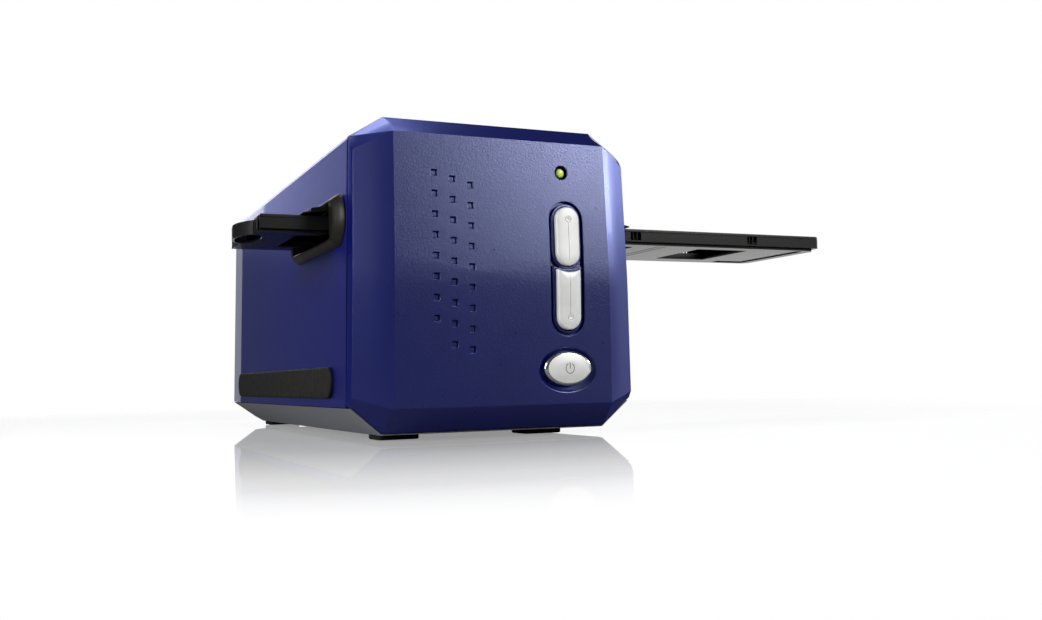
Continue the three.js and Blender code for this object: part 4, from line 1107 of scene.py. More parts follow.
@dataclass
class ButtonLayout:
    """Places of the buttons and the lamp on the front, shared by what holds them."""

    form: BodyForm
    power_shift: float = -0.4
    power_z: float = 25
    dish_half: Point = (11.8, 8.3)
    dish_drop: float = 0.6
    power_half: Point = (9.25, 5.95)
    lamp_shift: float = -1.2
    lamp_drop: float = 11.6
    edge_gap: float = 18.6
    above_power: float = 12.4
    below_lamp: float = 11.2
    capsule_width: float = 14
    capsule_depth: float = 1.6
    width: float = 9.5
    proud: float = 2.1
    gap: float = 0.45
    rim: float = 1
    split_rise: float = 0.2
    split_gap: float = 1.4
    dip: float = 1
    flange_back: float = 4.25

    @property
    def capsule_x(self) -> float:
        """Middle of the capsule."""
        return self.form.face_halves[0] - self.edge_gap

    @property
    def power_x(self) -> float:
        """Middle of the power button."""
        return self.capsule_x + self.power_shift

    @property
    def lamp(self) -> Point:
        """Middle of the status lamp."""
        return self.capsule_x + self.lamp_shift, self.form.face_top - self.lamp_drop

    @property
    def capsule(self) -> Point:
        """Bottom and top of the capsule."""
        return self.power_z + self.above_power, self.lamp[1] - self.below_lamp

    @property
    def split(self) -> float:
        """Height between the two scan buttons."""
        return sum(self.capsule) / 2 + self.split_rise

    def upper_span(self) -> Point:
        """Gives the bottom and top of the upper scan button."""
        margin = (self.capsule_width - self.width) / 2
        return self.split + self.split_gap / 2, self.capsule[1] - margin

    def lower_span(self) -> Point:
        """Gives the bottom and top of the lower scan button."""
        margin = (self.capsule_width - self.width) / 2
        return self.capsule[0] + margin, self.split - self.split_gap / 2

    def upper(self, grow: float) -> Outline:
        """Gives the upper scan button's outline, grown by a margin."""
        return stadium(self.capsule_x, *self.upper_span(), self.width, 16, grow)

    def lower(self, grow: float) -> Outline:
        """Gives the lower scan button's outline, whose top edge dips under the button above.

        Args:
            grow: margin that it grows by.

        Returns:
            The points in order.
        """
        low, high = self.lower_span()
        r = self.width / 2 + grow
        steps = 16
        dip = [(self.capsule_x + r * s, high + grow - self.dip * (1 - s * s))
               for s in (1 - 2 * i / steps for i in range(steps + 1))]
        return arc(self.capsule_x, low - grow + r, r, r, 180, 360, 16) + dip

    def power(self, grow: float) -> Outline:
        """Gives the power button's outline, grown by a margin."""
        return ellipse(self.power_x, self.power_z, *self.power_half, 48, grow)


@dataclass
class FrontCover:
    """Faceted front with a capsule recess, an oval dish, a lamp hole and square dimples."""

    form: BodyForm
    layout: ButtonLayout
    seam_close: float = 0.1
    bulge: float = 1.1
    edge: float = 0.5
    lip: float = 0.3
    lip_round: tuple[Point, ...] = ((0.25, 0.45), (0.6, 0.12))
    island: tuple[Point, ...] = ((0.1, -0.45), (0.16, -0.25), (0.34, -0.07), (0.6, 0))
    dish_lip: tuple[Point, ...] = ((0, 0.5), (0.1, 0.18), (0.3, 0))
    dish_bowl: tuple[Point, ...] = ((0.35, 0.55), (0.7, 0.86), (1, 1))
    dimple: float = 2.4
    dimple_walls: tuple[Point, ...] = ((0, 0.16), (0.07, 0.05), (0.2, -0.02), (0.95, -0.38))
    dimple_pitch: float = 7.6
    column_pitch: float = 6.95
    dimple_edge: float = 16.5
    dimple_drop: float = 14.5
    stagger: float = 1.95
    counts: tuple[int, ...] = (8, 9, 9)
    lamp_hole: float = 2.6
    boss: float = 2.5
    boss_end: float = 10.25

    def outside(self) -> Piece:
        """Lofts the outer form, its upper corner facets slightly curved.

        Returns:
            The form without its hollow.
        """
        form = self.form
        face = form.face_paired(0)
        places, wide = form.facets()
        sections = [(form.bezel_end + self.seam_close, form.front(0)), form.rim(), (places, wide)]
        steps = 5
        for i in range(1, steps):
            t = i / steps
            bulge = self.bulge * 4 * t * (1 - t)
            ring = [(u + (s - u) * t, v + (w - v) * t) for (u, v), (s, w) in zip(wide, face)]
            ring[5] = (ring[5][0] - bulge, ring[5][1])
            ring[6] = (ring[6][0] + bulge, ring[6][1])
            sections.append(([place * (1 - t) for place in places], ring))
        sections.append((0, face))
        return bench.loft("front_cover_shell", Axis.Y, sections)

    def inside(self) -> Piece:
        """Lofts the hollow behind the facets.

        Returns:
            The cutter.
        """
        form = self.form
        return bench.loft("front_hollow", Axis.Y, [
            (form.bezel_end + form.over, form.front(form.wall)), form.facets(form.wall),
            (form.front_wall, form.face_paired(form.wall)),
        ])

    def mouth(self, name: str, outline: Callable[[float], Outline], end: float) -> Piece:
        """Makes a cutter whose mouth flares out, so that the edge it leaves is round.

        Args:
            name: the cutter's name.
            outline: gives the hole's outline, grown by a margin.
            end: how deep it cuts.

        Returns:
            The cutter.
        """
        lip = self.lip
        return bench.flared(name, Axis.Y, outline, [
            (-self.form.over, lip), (0, lip), *((lip * deep, lip * wide) for deep, wide in self.lip_round),
            (lip, 0), (end, 0)])

    def moat(self) -> Piece:
        """Makes the cutter of the capsule, which leaves a round-topped rim about each button.

        Returns:
            The cutter.
        """
        layout = self.layout
        capsule = partial(stadium, layout.capsule_x, *layout.capsule, layout.capsule_width, 16)
        cutter = self.mouth("capsule_cut", capsule, layout.capsule_depth)
        rim = layout.gap + layout.rim
        steps = [(y, rim + grow) for y, grow in (*self.island, (2 * layout.capsule_depth, 0))]
        for outline in (layout.upper, layout.lower):
            bench.carve(cutter, bench.flared("rim_form", Axis.Y, outline, steps))
        return cutter

    def dish(self) -> Piece:
        """Makes the cutter of the oval dish round the power button.

        Returns:
            The cutter.
        """
        layout = self.layout
        (half_x, half_z), z = layout.dish_half, layout.power_z - layout.dish_drop
        steps = [(-self.form.over, self.dish_lip[0][1]), *self.dish_lip]
        rings = [(y, ellipse(layout.power_x, z, half_x, half_z, 48, grow)) for y, grow in steps]
        (start, outer), inner = rings[-1], layout.power(layout.gap)
        for share, sink in self.dish_bowl:
            ring = [(u + (s - u) * share, v + (w - v) * share) for (u, v), (s, w) in zip(outer, inner)]
            rings.append((start + (layout.capsule_depth - start) * sink, ring))
        return bench.loft("dish_cut", Axis.Y, rings)

    def dimples(self) -> Piece:
        """Makes the cutter of all dimples: one tapered square, copied along staggered columns.

        Returns:
            The cutter.
        """
        form = self.form
        first_x = self.dimple_edge - form.face_halves[0]
        first_z = form.face_top - self.dimple_drop
        sections = []
        for y, grow in ((-form.over, self.dimple_walls[0][1]), *self.dimple_walls):
            half = self.dimple / 2 + grow
            square = rounded(first_x - half, first_x + half, first_z - half, first_z + half, 0.3, 3)
            sections.append((y, square))
        one = bench.loft("dimple_cut", Axis.Y, sections)
        copies = [one]
        for column, count in enumerate(self.counts):
            for row in range(count):
                if column or row:
                    down = column * self.stagger + row * self.dimple_pitch
                    copies.append(bench.copy(one, "dimple_cut", (column * self.column_pitch, 0, -down)))
        return bench.gather("dimples_cut", *copies)

    def build(self) -> None:
        """Models the cover and dresses it."""
        form, layout = self.form, self.layout
        shell = self.outside()
        bench.round_edges(shell, self.edge, 3, angle=14)
        bench.carve(shell, self.inside())
        through = form.front_wall + form.over
        bench.carve(
            shell, self.moat(), self.dish(),
            self.mouth("upper_cut", lambda g: layout.upper(layout.gap + g / 2), through),
            self.mouth("lower_cut", lambda g: layout.lower(layout.gap + g / 2), through),
            bench.prism("power_cut", Axis.Y, layout.power(layout.gap), 0, through),
            self.mouth("lamp_cut", partial(ellipse, *layout.lamp, self.lamp_hole, self.lamp_hole, 48),
                       through),
            self.dimples(),
        )
        form.bend(shell)
        boss_x = layout.capsule_x + layout.capsule_width / 2 + self.boss
        posts = [bench.pipe("board_post", Axis.Y, boss_x, z, [
            (form.front_wall / 2 - form.bow_at(z), self.boss), (self.boss_end, self.boss)])
            for z in (layout.capsule[0], layout.lamp[1])]
        bench.carve(shell, *posts, join=True)
        bench.finish(shell)
        dress(shell, Finish.FRONT, "housing", "blue_plastic", "front_cover")


@dataclass
class MainCover:
    """Roof and sides in one shell, cut for the slot frames."""

    form: BodyForm
    seam_close: float = 0.1
    edge: float = 1.1
    small: float = 0.3
    slot_reach: Point = (22.25, 86.75)
    slot_heights: Point = (73.65, 90.35)

    def build(self) -> None:
        """Models the cover and dresses it."""
        form = self.form
        near, far = form.cover_near - self.seam_close, form.rear_seam - form.gap + self.seam_close
        shell = bench.prism("main_cover_shell", Axis.Y, form.upper(0, form.side_seam), near, far)
        bench.round_edges(shell, self.edge, 5, lambda a, b: abs(a.y - b.y) > 1 and a.z > form.side_seam + 1)
        bench.round_edges(shell, self.small, 2, angle=30, choose=lambda a, b: abs(a.y - b.y) < form.gap)
        hollow = form.upper(form.wall, form.side_seam - form.over)
        bench.carve(shell, bench.prism("main_hollow", Axis.Y, hollow, near - form.over, far + form.over))
        half = form.half_bottom + form.over
        slot = rounded(*self.slot_reach, *self.slot_heights, 1)
        bench.carve(shell, bench.prism("slot_cut", Axis.X, slot, -half, half))
        bench.finish(shell)
        dress(shell, Finish.SHELL, "housing", "blue_plastic", "main_cover")


@dataclass
class RearCover:
    """Rear end that draws in towards the back, with a row of vents above the sockets."""

    form: BodyForm
    edge: float = 1
    vents: int = 7
    vent_width: float = 2.4
    vent_height: float = 22
    vent_pitch: float = 7
    vent_bottom: float = 70
    vent_lip: tuple[Point, ...] = ((-0.4, 0), (-0.1, 0.12), (0, 0.35), (1, 0.35))
    socket_lip: tuple[Point, ...] = ((-0.5, 0), (0, 0.4), (1, 0.4))
    socket_corner: float = 0.6
    usb: tuple[float, float] = (-28, 12)
    jack: tuple[float, float] = (-4, 9)
    socket_bottom: float = 16.75
    socket_height: float = 11

    def rings(self, inset: float, start: float, end: float, bottom: float) -> list[tuple[float, Outline]]:
        """Gives the sections of the cover's outer or inner form.

        Args:
            inset: how far it is drawn in.
            start: where it starts.
            end: where it ends.
            bottom: height of its open underside.

        Returns:
            The sections from the seam to the back.
        """
        form = self.form
        a, b, c, d = form.face(inset, bottom)
        return [(start, form.upper(inset, bottom)),
                (form.rear_shoulder, form.upper(form.rear_taper + inset, bottom)), (end, [a, b, c, c, d, d])]

    def build(self) -> None:
        """Models the cover and dresses it."""
        form = self.form
        seam = form.rear_seam
        shell = bench.loft("rear_cover_shell", Axis.Y, self.rings(0, seam, form.depth, form.side_seam))
        bench.round_edges(shell, self.edge, 4, angle=14, choose=lambda a, b: (
            min(a.z, b.z) > form.side_seam + 1 and max(a.y, b.y) > seam + 1))
        bench.carve(shell, bench.loft("rear_hollow", Axis.Y, self.rings(
            form.wall, seam - form.over, form.depth - form.rear_wall, form.side_seam - form.over)))
        first = -(self.vents - 1) / 2 * self.vent_pitch
        top = self.vent_bottom + self.vent_height
        slot = partial(stadium, first, self.vent_bottom, top, self.vent_width, 8)
        one = bench.flared("vent_cut", Axis.Y, slot, [
            (form.rear_shoulder, 0), *((form.depth + y, grow) for y, grow in self.vent_lip)])
        row = [one] + [bench.copy(one, "vent_cut", (i * self.vent_pitch, 0, 0)) for i in range(1, self.vents)]
        top = self.socket_bottom + self.socket_height + form.gap
        mouths = []
        for x, width in (self.usb, self.jack):
            reach = width / 2 + form.gap
            hole = partial(rounded, x - reach, x + reach, self.socket_bottom - form.gap, top,
                           self.socket_corner, 4)
            mouths.append(bench.flared("socket_cut", Axis.Y, hole, [
                (form.rear_shoulder - 4, 0), *((form.depth + y, grow) for y, grow in self.socket_lip)]))
        bench.carve(shell, bench.gather("vents_cut", *row), *mouths)
        bench.finish(shell)
        dress(shell, Finish.SHELL, "housing", "blue_plastic", "rear_cover")


@dataclass
class BaseTray:
    """Grey tray with sloping sides, a lip under the front cover, bosses and recesses."""

    form: BodyForm
    feet: "Feet"
    screws: "BaseScrews"
    edge: float = 0.5
    lip_edge: float = 0.2
    close: float = 0.15
    boss: float = 3.5
    boss_top: float = 7.85

    def rings(self, inset: float, start: float, end: float, top: float) -> list[tuple[float, Outline]]:
        """Gives the sections of the tray's outer or inner form.

        Args:
            inset: how far it is drawn in.
            start: where it starts.
            end: where it ends.
            top: height of its upper edge.

        Returns:
            The sections from front to back.
        """
        form = self.form
        floor = form.rear_floor + inset
        half = form.face_halves[0] - inset
        shoulder = form.rear_shoulder - inset
        return [(start, form.tray(inset, top)), (form.rear_seam, form.tray(inset, top)),
                (shoulder, form.tray(form.rear_taper + inset, top)),
                (end, rectangle(-half, half, floor, top))]

    def build(self) -> None:
        """Models the tray and dresses it."""
        form = self.form
        near = form.cover_near
        tray = bench.loft("base_tray_shell", Axis.Y, self.rings(0, near, form.depth, form.tray_top))
        bench.round_edges(tray, self.edge, 3, angle=8, choose=lambda a, b: (
            min(a.z, b.z) < form.tray_top - 1 and max(a.y, b.y) > near + 1))
        deep = form.tray_wall
        bench.carve(tray, bench.loft("tray_hollow", Axis.Y, self.rings(
            deep, near + deep, form.depth - deep, form.tray_top + form.over)))
        lip = bench.loft("tray_lip", Axis.Y, [
            (form.bottom_facet, form.tray(form.step, form.tray_top)),
            (near + self.close, form.tray(0, form.tray_top))])
        bench.round_edges(lip, self.lip_edge, 2, angle=8, choose=lambda a, b: max(a.y, b.y) < near)
        bench.carve(lip, bench.prism("lip_cut", Axis.Y, form.front(-self.close),
                                     form.bottom_facet - form.over, near - self.close))
        bosses = [bench.pipe("tray_boss", Axis.Z, x, y, [
            (form.tray_bottom + deep / 2, self.boss + deep), (self.screws.pad_top, self.boss + deep),
            (self.screws.pad_top + 0.4, self.boss + 0.3), (self.boss_top, self.boss)])
            for _, x, y in self.screws.places]
        bench.carve(tray, lip, *bosses, join=True)
        cutters = [self.screws.hole(x, y) for _, x, y in self.screws.places]
        cutters += [self.feet.recess(x, y) for _, x, y in self.feet.places]
        bench.carve(tray, *cutters)
        bench.finish(tray)
        dress(tray, Finish.TRAY, "housing", "grey_plastic", "base_tray")


@dataclass
class Feet:
    """Four rubber feet. The front right one stands further in than the others."""

    form: BodyForm
    width: float = 15.8
    length: float = 14
    sink: float = 0.5
    inset: float = 8.3
    shift: float = 15.2
    front_gap: float = 0.4
    rear_inset: float = 10
    corner: float = 1.4
    sole: tuple[Point, ...] = ((0.5, 0), (0.2, -0.12), (0.05, -0.32), (0, -0.6))
    ribs: int = 4
    groove: Point = (0.85, 1.15)
    groove_depth: float = 0.25
    close: float = 0.15

    @property
    def places(self) -> list[tuple[str, float, float]]:
        """Each foot's name and middle.

        Returns:
            The names and middles of all four.
        """
        form = self.form
        x = form.half_bottom - form.bottom_cut - self.inset
        near = form.cover_near + self.front_gap + self.length / 2
        far = form.rear_seam - self.rear_inset
        return [("foot_front_left", -x, near), ("foot_front_right", x - self.shift, near),
                ("foot_rear_left", -x, far), ("foot_rear_right", x, far)]

    def outline(self, x: float, y: float, grow: float) -> Outline:
        """Gives a foot's outline, grown by a margin."""
        u, v = self.width / 2 + grow, self.length / 2 + grow
        return rounded(x - u, x + u, y - v, y + v, self.corner)

    def recess(self, x: float, y: float) -> Piece:
        """Makes the cutter of a foot's recess in the tray."""
        top = self.form.tray_bottom + self.sink
        return bench.prism("foot_recess", Axis.Z, self.outline(x, y, self.close), 0, top)

    def build(self) -> None:
        """Models one foot with a ribbed sole, copies it and dresses all four."""
        top = self.form.tray_bottom + self.sink - self.close
        (_, x, y), *_ = self.places
        foot = bench.flared("foot", Axis.Z, partial(self.outline, x, y), [(top, 0), *self.sole])
        start, pitch = y - self.length / 2, self.length / (self.ribs + 1)
        grooves = []
        for i in range(self.ribs):
            near, far = (start + pitch * (i + share) for share in self.groove)
            grooves.append(bench.block("sole_groove", (x - self.width, near, -1),
                                       (x + self.width, far, self.groove_depth)))
        bench.carve(foot, bench.gather("sole_grooves", *grooves))
        bench.finish(foot, 40)
        for name, u, v in self.places:
            piece = bench.copy(foot, f"{name}_pad", (u - x, v - y, 0))
            dress(piece, Finish.FOOT, "housing", "rubber", name)
        bpy.data.objects.remove(foot)


@dataclass
class BaseScrews:
    """Four screws that hold the chassis from below."""

    form: BodyForm
    half_x: float = 36
    near: float = 46
    far: float = 200
    radius: float = 1.5
    head: float = 2.8
    head_height: float = 1.6
    head_round: tuple[Point, ...] = ((0.7, 0), (0.3, 0.2), (0.06, 0.7), (0, 1.3))
    recess_depth: float = 0.8
    sink: float = 2.2
    end: float = 11.2
    recess_width: float = 0.7
    recess_length: float = 3.2

    @property
    def places(self) -> list[tuple[str, float, float]]:
        """Each screw's place in words and its middle.

        Returns:
            The places of all four.
        """
        x = self.half_x
        return [("near_left", -x, self.near), ("near_right", x, self.near), ("far_left", -x, self.far),
                ("far_right", x, self.far)]

    @property
    def pad_top(self) -> float:
        """Height of the tray's pad round each screw."""
        return self.form.tray_bottom + self.sink + self.form.tray_wall

    def hole(self, x: float, y: float) -> Piece:
        """Makes the cutter of a screw's stepped hole in the tray.

        Args:
            x: the hole's middle along X.
            y: the hole's middle along Y.

        Returns:
            The cutter.
        """
        gap, seat = self.form.gap, self.form.tray_bottom + self.sink
        wide, narrow = self.head + gap, self.radius + gap
        return bench.pipe("screw_hole", Axis.Z, x, y, [
            (0, wide + 0.5), (self.form.tray_bottom, wide + 0.35), (self.form.tray_bottom + 0.35, wide),
            (seat, wide), (seat, narrow), (self.pad_top + 2 * self.sink, narrow)], 32)

    def build(self) -> None:
        """Models one screw with a cross recess, copies it and dresses all four."""
        (_, x, y), *_ = self.places
        top = self.form.tray_bottom + self.sink - 0.15
        low = top - self.head_height
        screw = bench.pipe("screw", Axis.Z, x, y, [
            (self.end, 0.5), (self.end - 0.5, self.radius), (top, self.radius), (top, self.head),
            *((low + z, self.head - inset) for z, inset in self.head_round)], 32)
        w, l = self.recess_width / 2, self.recess_length / 2
        arms = [bench.block("cross_arm", (x - u, y - v, low - 1), (x + u, y + v, low + self.recess_depth))
                for u, v in ((w, l), (l, w))]
        bench.carve(screw, *arms)
        bench.finish(screw, 35)
        for place, u, v in self.places:
            piece = bench.copy(screw, f"cover_screw_{place}", (u - x, v - y, 0))
            dress(piece, Finish.STEEL, "housing", "steel", f"base_screw_{place}")
        bpy.data.objects.remove(screw)


@dataclass
class SidePads:
    """Rubber grip pads with bowed ends, low on both sides."""

    form: BodyForm
    near: float = 35
    rear_inset: float = 6
    bulge: float = 5
    low: float = 15.5
    high: float = 27.5
    thickness: float = 1.3
    edge: tuple[Point, ...] = ((0.6, 0), (0.3, 0.12), (0.08, 0.36), (0, 0.75))
    close: float = 0.15

    def build(self) -> None:
        """Models the left pad, mirrors it and dresses both."""
        far = self.form.rear_seam - self.rear_inset
        half_u, half_v = (far - self.near) / 2, (self.high - self.low) / 2
        back = self.form.half_at(self.low) + self.close
        rings = ((self.thickness, 0), *self.edge)
        pad = bench.loft("grip_pad_left", Axis.X, [
            (-back - self.thickness + down, bowed((self.near + far) / 2, (self.low + self.high) / 2,
                                                  half_u - inset, half_v - inset, self.bulge - inset / 2))
            for down, inset in rings])
        bench.smooth(pad, 40)
        dress_pair(pad, Finish.PAD, "housing", "rubber", "side_pad_{}")


@dataclass
class SlotOpening:
    """The side slot that the holder runs through, with its frame's and door's shared places."""

    form: BodyForm
    near: float = 24
    length: float = 61
    low: float = 75.4
    high: float = 88.6
    proud: float = 3.5
    border: float = 3.3
    hinge_inset: float = 1.6
    close: float = 0.15

    @property
    def middle(self) -> Point:
        """Middle of the opening along the body and in height."""
        return self.near + self.length / 2, (self.low + self.high) / 2

    @property
    def back(self) -> float:
        """Distance of the frame's back from the middle plane."""
        return self.form.half_at(self.low - self.border) + self.close

    @property
    def hinge(self) -> Point:
        """The door hinge's distance from the middle plane, and its height."""
        return self.back + self.proud - self.hinge_inset, self.high - 1.6


@dataclass
class SlotFrames:
    """Sloping black surrounds with a collar through the cover's wall."""

    opening: SlotOpening
    bulge: float = 7
    slope: tuple[Point, ...] = ((0, 0), (0.1, 0.03), (0.3, 0.16), (0.55, 0.4), (0.8, 0.7), (0.95, 0.9),
                                (1, 1))
    hole_lip: tuple[Point, ...] = ((0.5, 0), (0.2, 0.1), (0, 0.4), (-1, 0.4))
    corner: Point = (0.35, 0.8)
    lip: float = 0.9
    lip_bulge: float = 4.4
    collar: float = 1.6
    collar_depth: float = 4.4
    over: float = 1
    pin_hole: float = 1
    pin_reach: float = 1.25

    def outline(self, grow: float, bulge: float) -> Outline:
        """Gives the opening's outline grown by a border, with bowed ends.

        Args:
            grow: the border's width.
            bulge: how far its ends bow out.

        Returns:
            The points in order.
        """
        slot = self.opening
        (y, z), half = slot.middle, slot.length / 2
        return bowed(y, z, half + grow, (slot.high - slot.low) / 2 + grow, bulge)

    def build(self) -> None:
        """Models the left frame, mirrors it and dresses both."""
        slot = self.opening
        back, face = slot.back, slot.back + slot.proud
        surround = bench.loft("slot_surround_left", Axis.X, [
            (-back - slot.proud * out, self.outline(
                slot.border + (self.lip - slot.border) * draw,
                self.bulge + (self.lip_bulge - self.bulge) * draw)) for out, draw in self.slope])
        far = slot.near + slot.length
        grow = self.collar
        wide = rounded(slot.near - grow, far + grow, slot.low - grow, slot.high + grow, self.corner[1])
        collar = bench.prism("slot_collar", Axis.X, wide, -back - slot.close, self.collar_depth - back)
        bench.carve(surround, collar, join=True)
        hole = partial(rounded, slot.near, far, slot.low, slot.high, self.corner[0], 3)
        bench.carve(surround, bench.flared("slot_hole", Axis.X, hole, [
            (self.collar_depth - back + self.over, 0), *((x - face, grow) for x, grow in self.hole_lip)]))
        hinge_x, hinge_z = slot.hinge
        bench.carve(surround, bench.pipe("pin_hole", Axis.Y, -hinge_x, hinge_z, [
            (slot.near - self.pin_reach, self.pin_hole), (far + self.pin_reach, self.pin_hole)]))
        bench.finish(surround, 38)
        dress_pair(surround, Finish.FRAME, "housing", "black_plastic", "slot_frame_{}")


@dataclass
class DustDoors:
    """Doors of the side slots, each lying open on the holder."""

    opening: SlotOpening
    holder_top: float = 84
    length: float = 11.6
    thickness: float = 1.8
    tip_length: float = 3.6
    tip: float = 0.5
    barrel: float = 1.3
    pin: float = 0.7
    pin_reach: float = 1.1
    end_gap: float = 0.6
    rest_gap: float = 0.3

    def build(self) -> None:
        """Models the left door, mirrors it and dresses both."""
        slot = self.opening
        hinge_x, hinge_z = slot.hinge
        half = self.thickness / 2
        drop = hinge_z - half - self.rest_gap - self.holder_top
        tilt = math.asin(drop / self.length)
        r = 0.2
        end, tip = self.length, self.tip - half
        root = end - self.tip_length
        profile = [(0, -half), (end - r, -half), (end, r - half), (end, tip - r), (end - r, tip),
                   (root + r, tip + r), (root, half - r), (root - r, half), (0, half)]
        blade = [(-(hinge_x + u * math.cos(tilt) + v * math.sin(tilt)),
                  hinge_z - u * math.sin(tilt) + v * math.cos(tilt)) for u, v in profile]
        near, far = slot.near + self.end_gap, slot.near + slot.length - self.end_gap
        door = bench.prism("door_blade_left", Axis.Y, blade, near, far)
        bench.round_edges(door, 0.15, 2, angle=60)
        barrel = bench.pipe("door_barrel", Axis.Y, -hinge_x, hinge_z, [
            (near, self.barrel - 0.2), (near + 0.2, self.barrel), (far - 0.2, self.barrel),
            (far, self.barrel - 0.2)])
        pin = bench.pipe("door_pin", Axis.Y, -hinge_x, hinge_z, [
            (slot.near - self.pin_reach, self.pin - 0.15), (slot.near - self.pin_reach + 0.2, self.pin),
            (slot.near + slot.length + self.pin_reach - 0.2, self.pin),
            (slot.near + slot.length + self.pin_reach, self.pin - 0.15)])
        bench.carve(door, barrel, pin, join=True)
        bench.finish(door, 38)
        dress_pair(door, Finish.BLACK, "{}_door", "black_plastic", "dust_door_{}")


@dataclass
class SlideHolder:
    """Long holder for four slides: a base with a finger tab, and a shallow cover."""

    left: float = -85
    right: float = 171.5
    near: float = 26
    far: float = 83
    low: float = 77.4
    high: float = 84
    base_thickness: float = 1
    base_inset: float = 1.5
    base_corner: float = 4
    cover_low: float = 78.55
    cover_corner: float = 2.5
    wall: float = 1.6
    roof: float = 1.4
    first_window: float = -56.5
    pitch: float = 60
    windows: int = 4
    window: Place = (26, 34.5, 70.5)
    tab_height: float = 5.4
    tab_reach: float = 5.8
    tab_ledge: float = 0.9
    tab_middle: float = 50
    tab_half: float = 15
    finger: Point = (4.4, 12.4)
    rail: Point = (2.4, 2.6)
    catch: Place = (10, 5.2, 3.4)
    groove_shift: float = 23.7
    groove: Point = (0.8, 0.4)
    pocket: float = 18
    over: float = 1
    edge: float = 0.35
    seam_drop: float = 1.2

    @property
    def middles(self) -> list[float]:
        """Middle of each window along X."""
        return [self.first_window + i * self.pitch for i in range(self.windows)]

    def window_cuts(self, name: str, low: float, high: float) -> Piece:
        """Makes the cutter of all windows with edges flared at both faces.

        Args:
            name: the cutter's name.
            low: height of the lower face.
            high: height of the upper face.

        Returns:
            One cutter for all windows.
        """
        width, near, far = self.window
        x, flare = self.first_window, self.edge
        hole = partial(rounded, x - width / 2, x + width / 2, near, far, 0.6, 4)
        one = bench.flared(name, Axis.Z, hole, [
            (low - self.over, flare), (low, flare), (low + flare, 0), (high - flare, 0), (high, flare),
            (high + self.over, flare)])
        rest = [bench.copy(one, name, (i * self.pitch, 0, 0)) for i in range(1, self.windows)]
        return bench.gather(name, one, *rest)

    def finger_cut(self, low: float, high: float) -> Piece:
        """Makes the cutter of the finger hole, its edges flared at both faces.

        Args:
            low: height of the lower face.
            high: height of the upper face.

        Returns:
            The cutter.
        """
        hole = partial(ellipse, self.left, self.tab_middle, *self.finger, 56)
        flare = self.edge
        return bench.flared("finger_cut", Axis.Z, hole, [
            (low - self.over, flare), (low, flare), (low + flare / 2, flare / 4), (low + flare, 0),
            (high - flare, 0), (high - flare / 2, flare / 4), (high, flare), (high + self.over, flare)])

    def build_base(self) -> None:
        """Models the base with its tab, rails, grooves and grip pocket, and dresses it."""
        inset = self.base_inset
        near, far, end = self.near + inset, self.far - inset, self.right - inset
        root = self.left - self.tab_ledge
        bulge = self.tab_reach - self.tab_ledge
        tab = bow(root - bulge, self.tab_middle, self.tab_half, bulge, 180, 32)
        r = self.base_corner
        top = self.low + self.base_thickness
        plate = bench.prism("holder_plate", Axis.Z, [
            (root, far), *tab, (root, near), *arc(end - r, near + r, r, r, 270, 360, 8),
            *arc(end - r, far - r, r, r, 0, 90, 8)], self.low, top)
        bench.round_edges(plate, self.edge, 2, lambda a, b: max(a.z, b.z) < self.low + 0.1, angle=60)
        lug = bench.prism("holder_tab", Axis.Z, [
            (self.left - 0.15, far), (root, far), *tab, (root, near), (self.left - 0.15, near)],
            self.low, self.low + self.tab_height)
        bench.round_edges(lug, 0.5, 3, angle=60)
        rail_width, rail_height = self.rail
        _, window_near, window_far = self.window
        start = self.left + 2 * self.wall + self.finger[0]
        rails = []
        for y in (window_near - 1.5 * rail_width, window_far + rail_width / 2):
            rail = bench.block("holder_rail", (start, y, self.low + 0.5),
                               (end - 2 * self.wall, y + rail_width, self.low + 0.5 + rail_height))
            bench.round_edges(rail, 0.3, 2, lambda a, b: min(a.z, b.z) > self.low + 2)
            rails.append(rail)
        bench.carve(plate, lug, *rails, join=True)
        deep = self.low + self.groove[1]
        ya, yb = near + rail_width, far - rail_width
        cuts = []
        for x in self.middles[:-1]:
            for shift in (0, 3.2):
                u = x + self.groove_shift + shift
                cuts.append(bench.block("base_groove", (u, ya, self.low - 1), (u + self.groove[0], yb, deep)))
        u = self.middles[-1] + self.groove_shift
        pocket = rounded(u, u + self.pocket, ya, yb, 2)
        cuts.append(bench.prism("grip_pocket", Axis.Z, pocket, self.low - 1, deep))
        bench.carve(plate, bench.gather("base_cuts", *cuts), self.window_cuts("base_windows", self.low, top),
                    self.finger_cut(self.low, self.low + self.tab_height))
        bench.finish(plate)
        dress(plate, Finish.BLACK, "slide_holder", "black_plastic", "holder_base")

    def cover_outline(self, inset: float) -> Outline:
        """Gives the cover's outline, drawn in by an inset.

        Args:
            inset: how far it is drawn in.

        Returns:
            The points in order.
        """
        r = self.cover_corner
        return [(self.left + inset, self.far - inset), (self.left + inset, self.near + inset),
                *arc(self.right - r, self.near + r, r - inset, r - inset, 270, 360, 8),
                *arc(self.right - r, self.far - r, r - inset, r - inset, 0, 90, 8)]

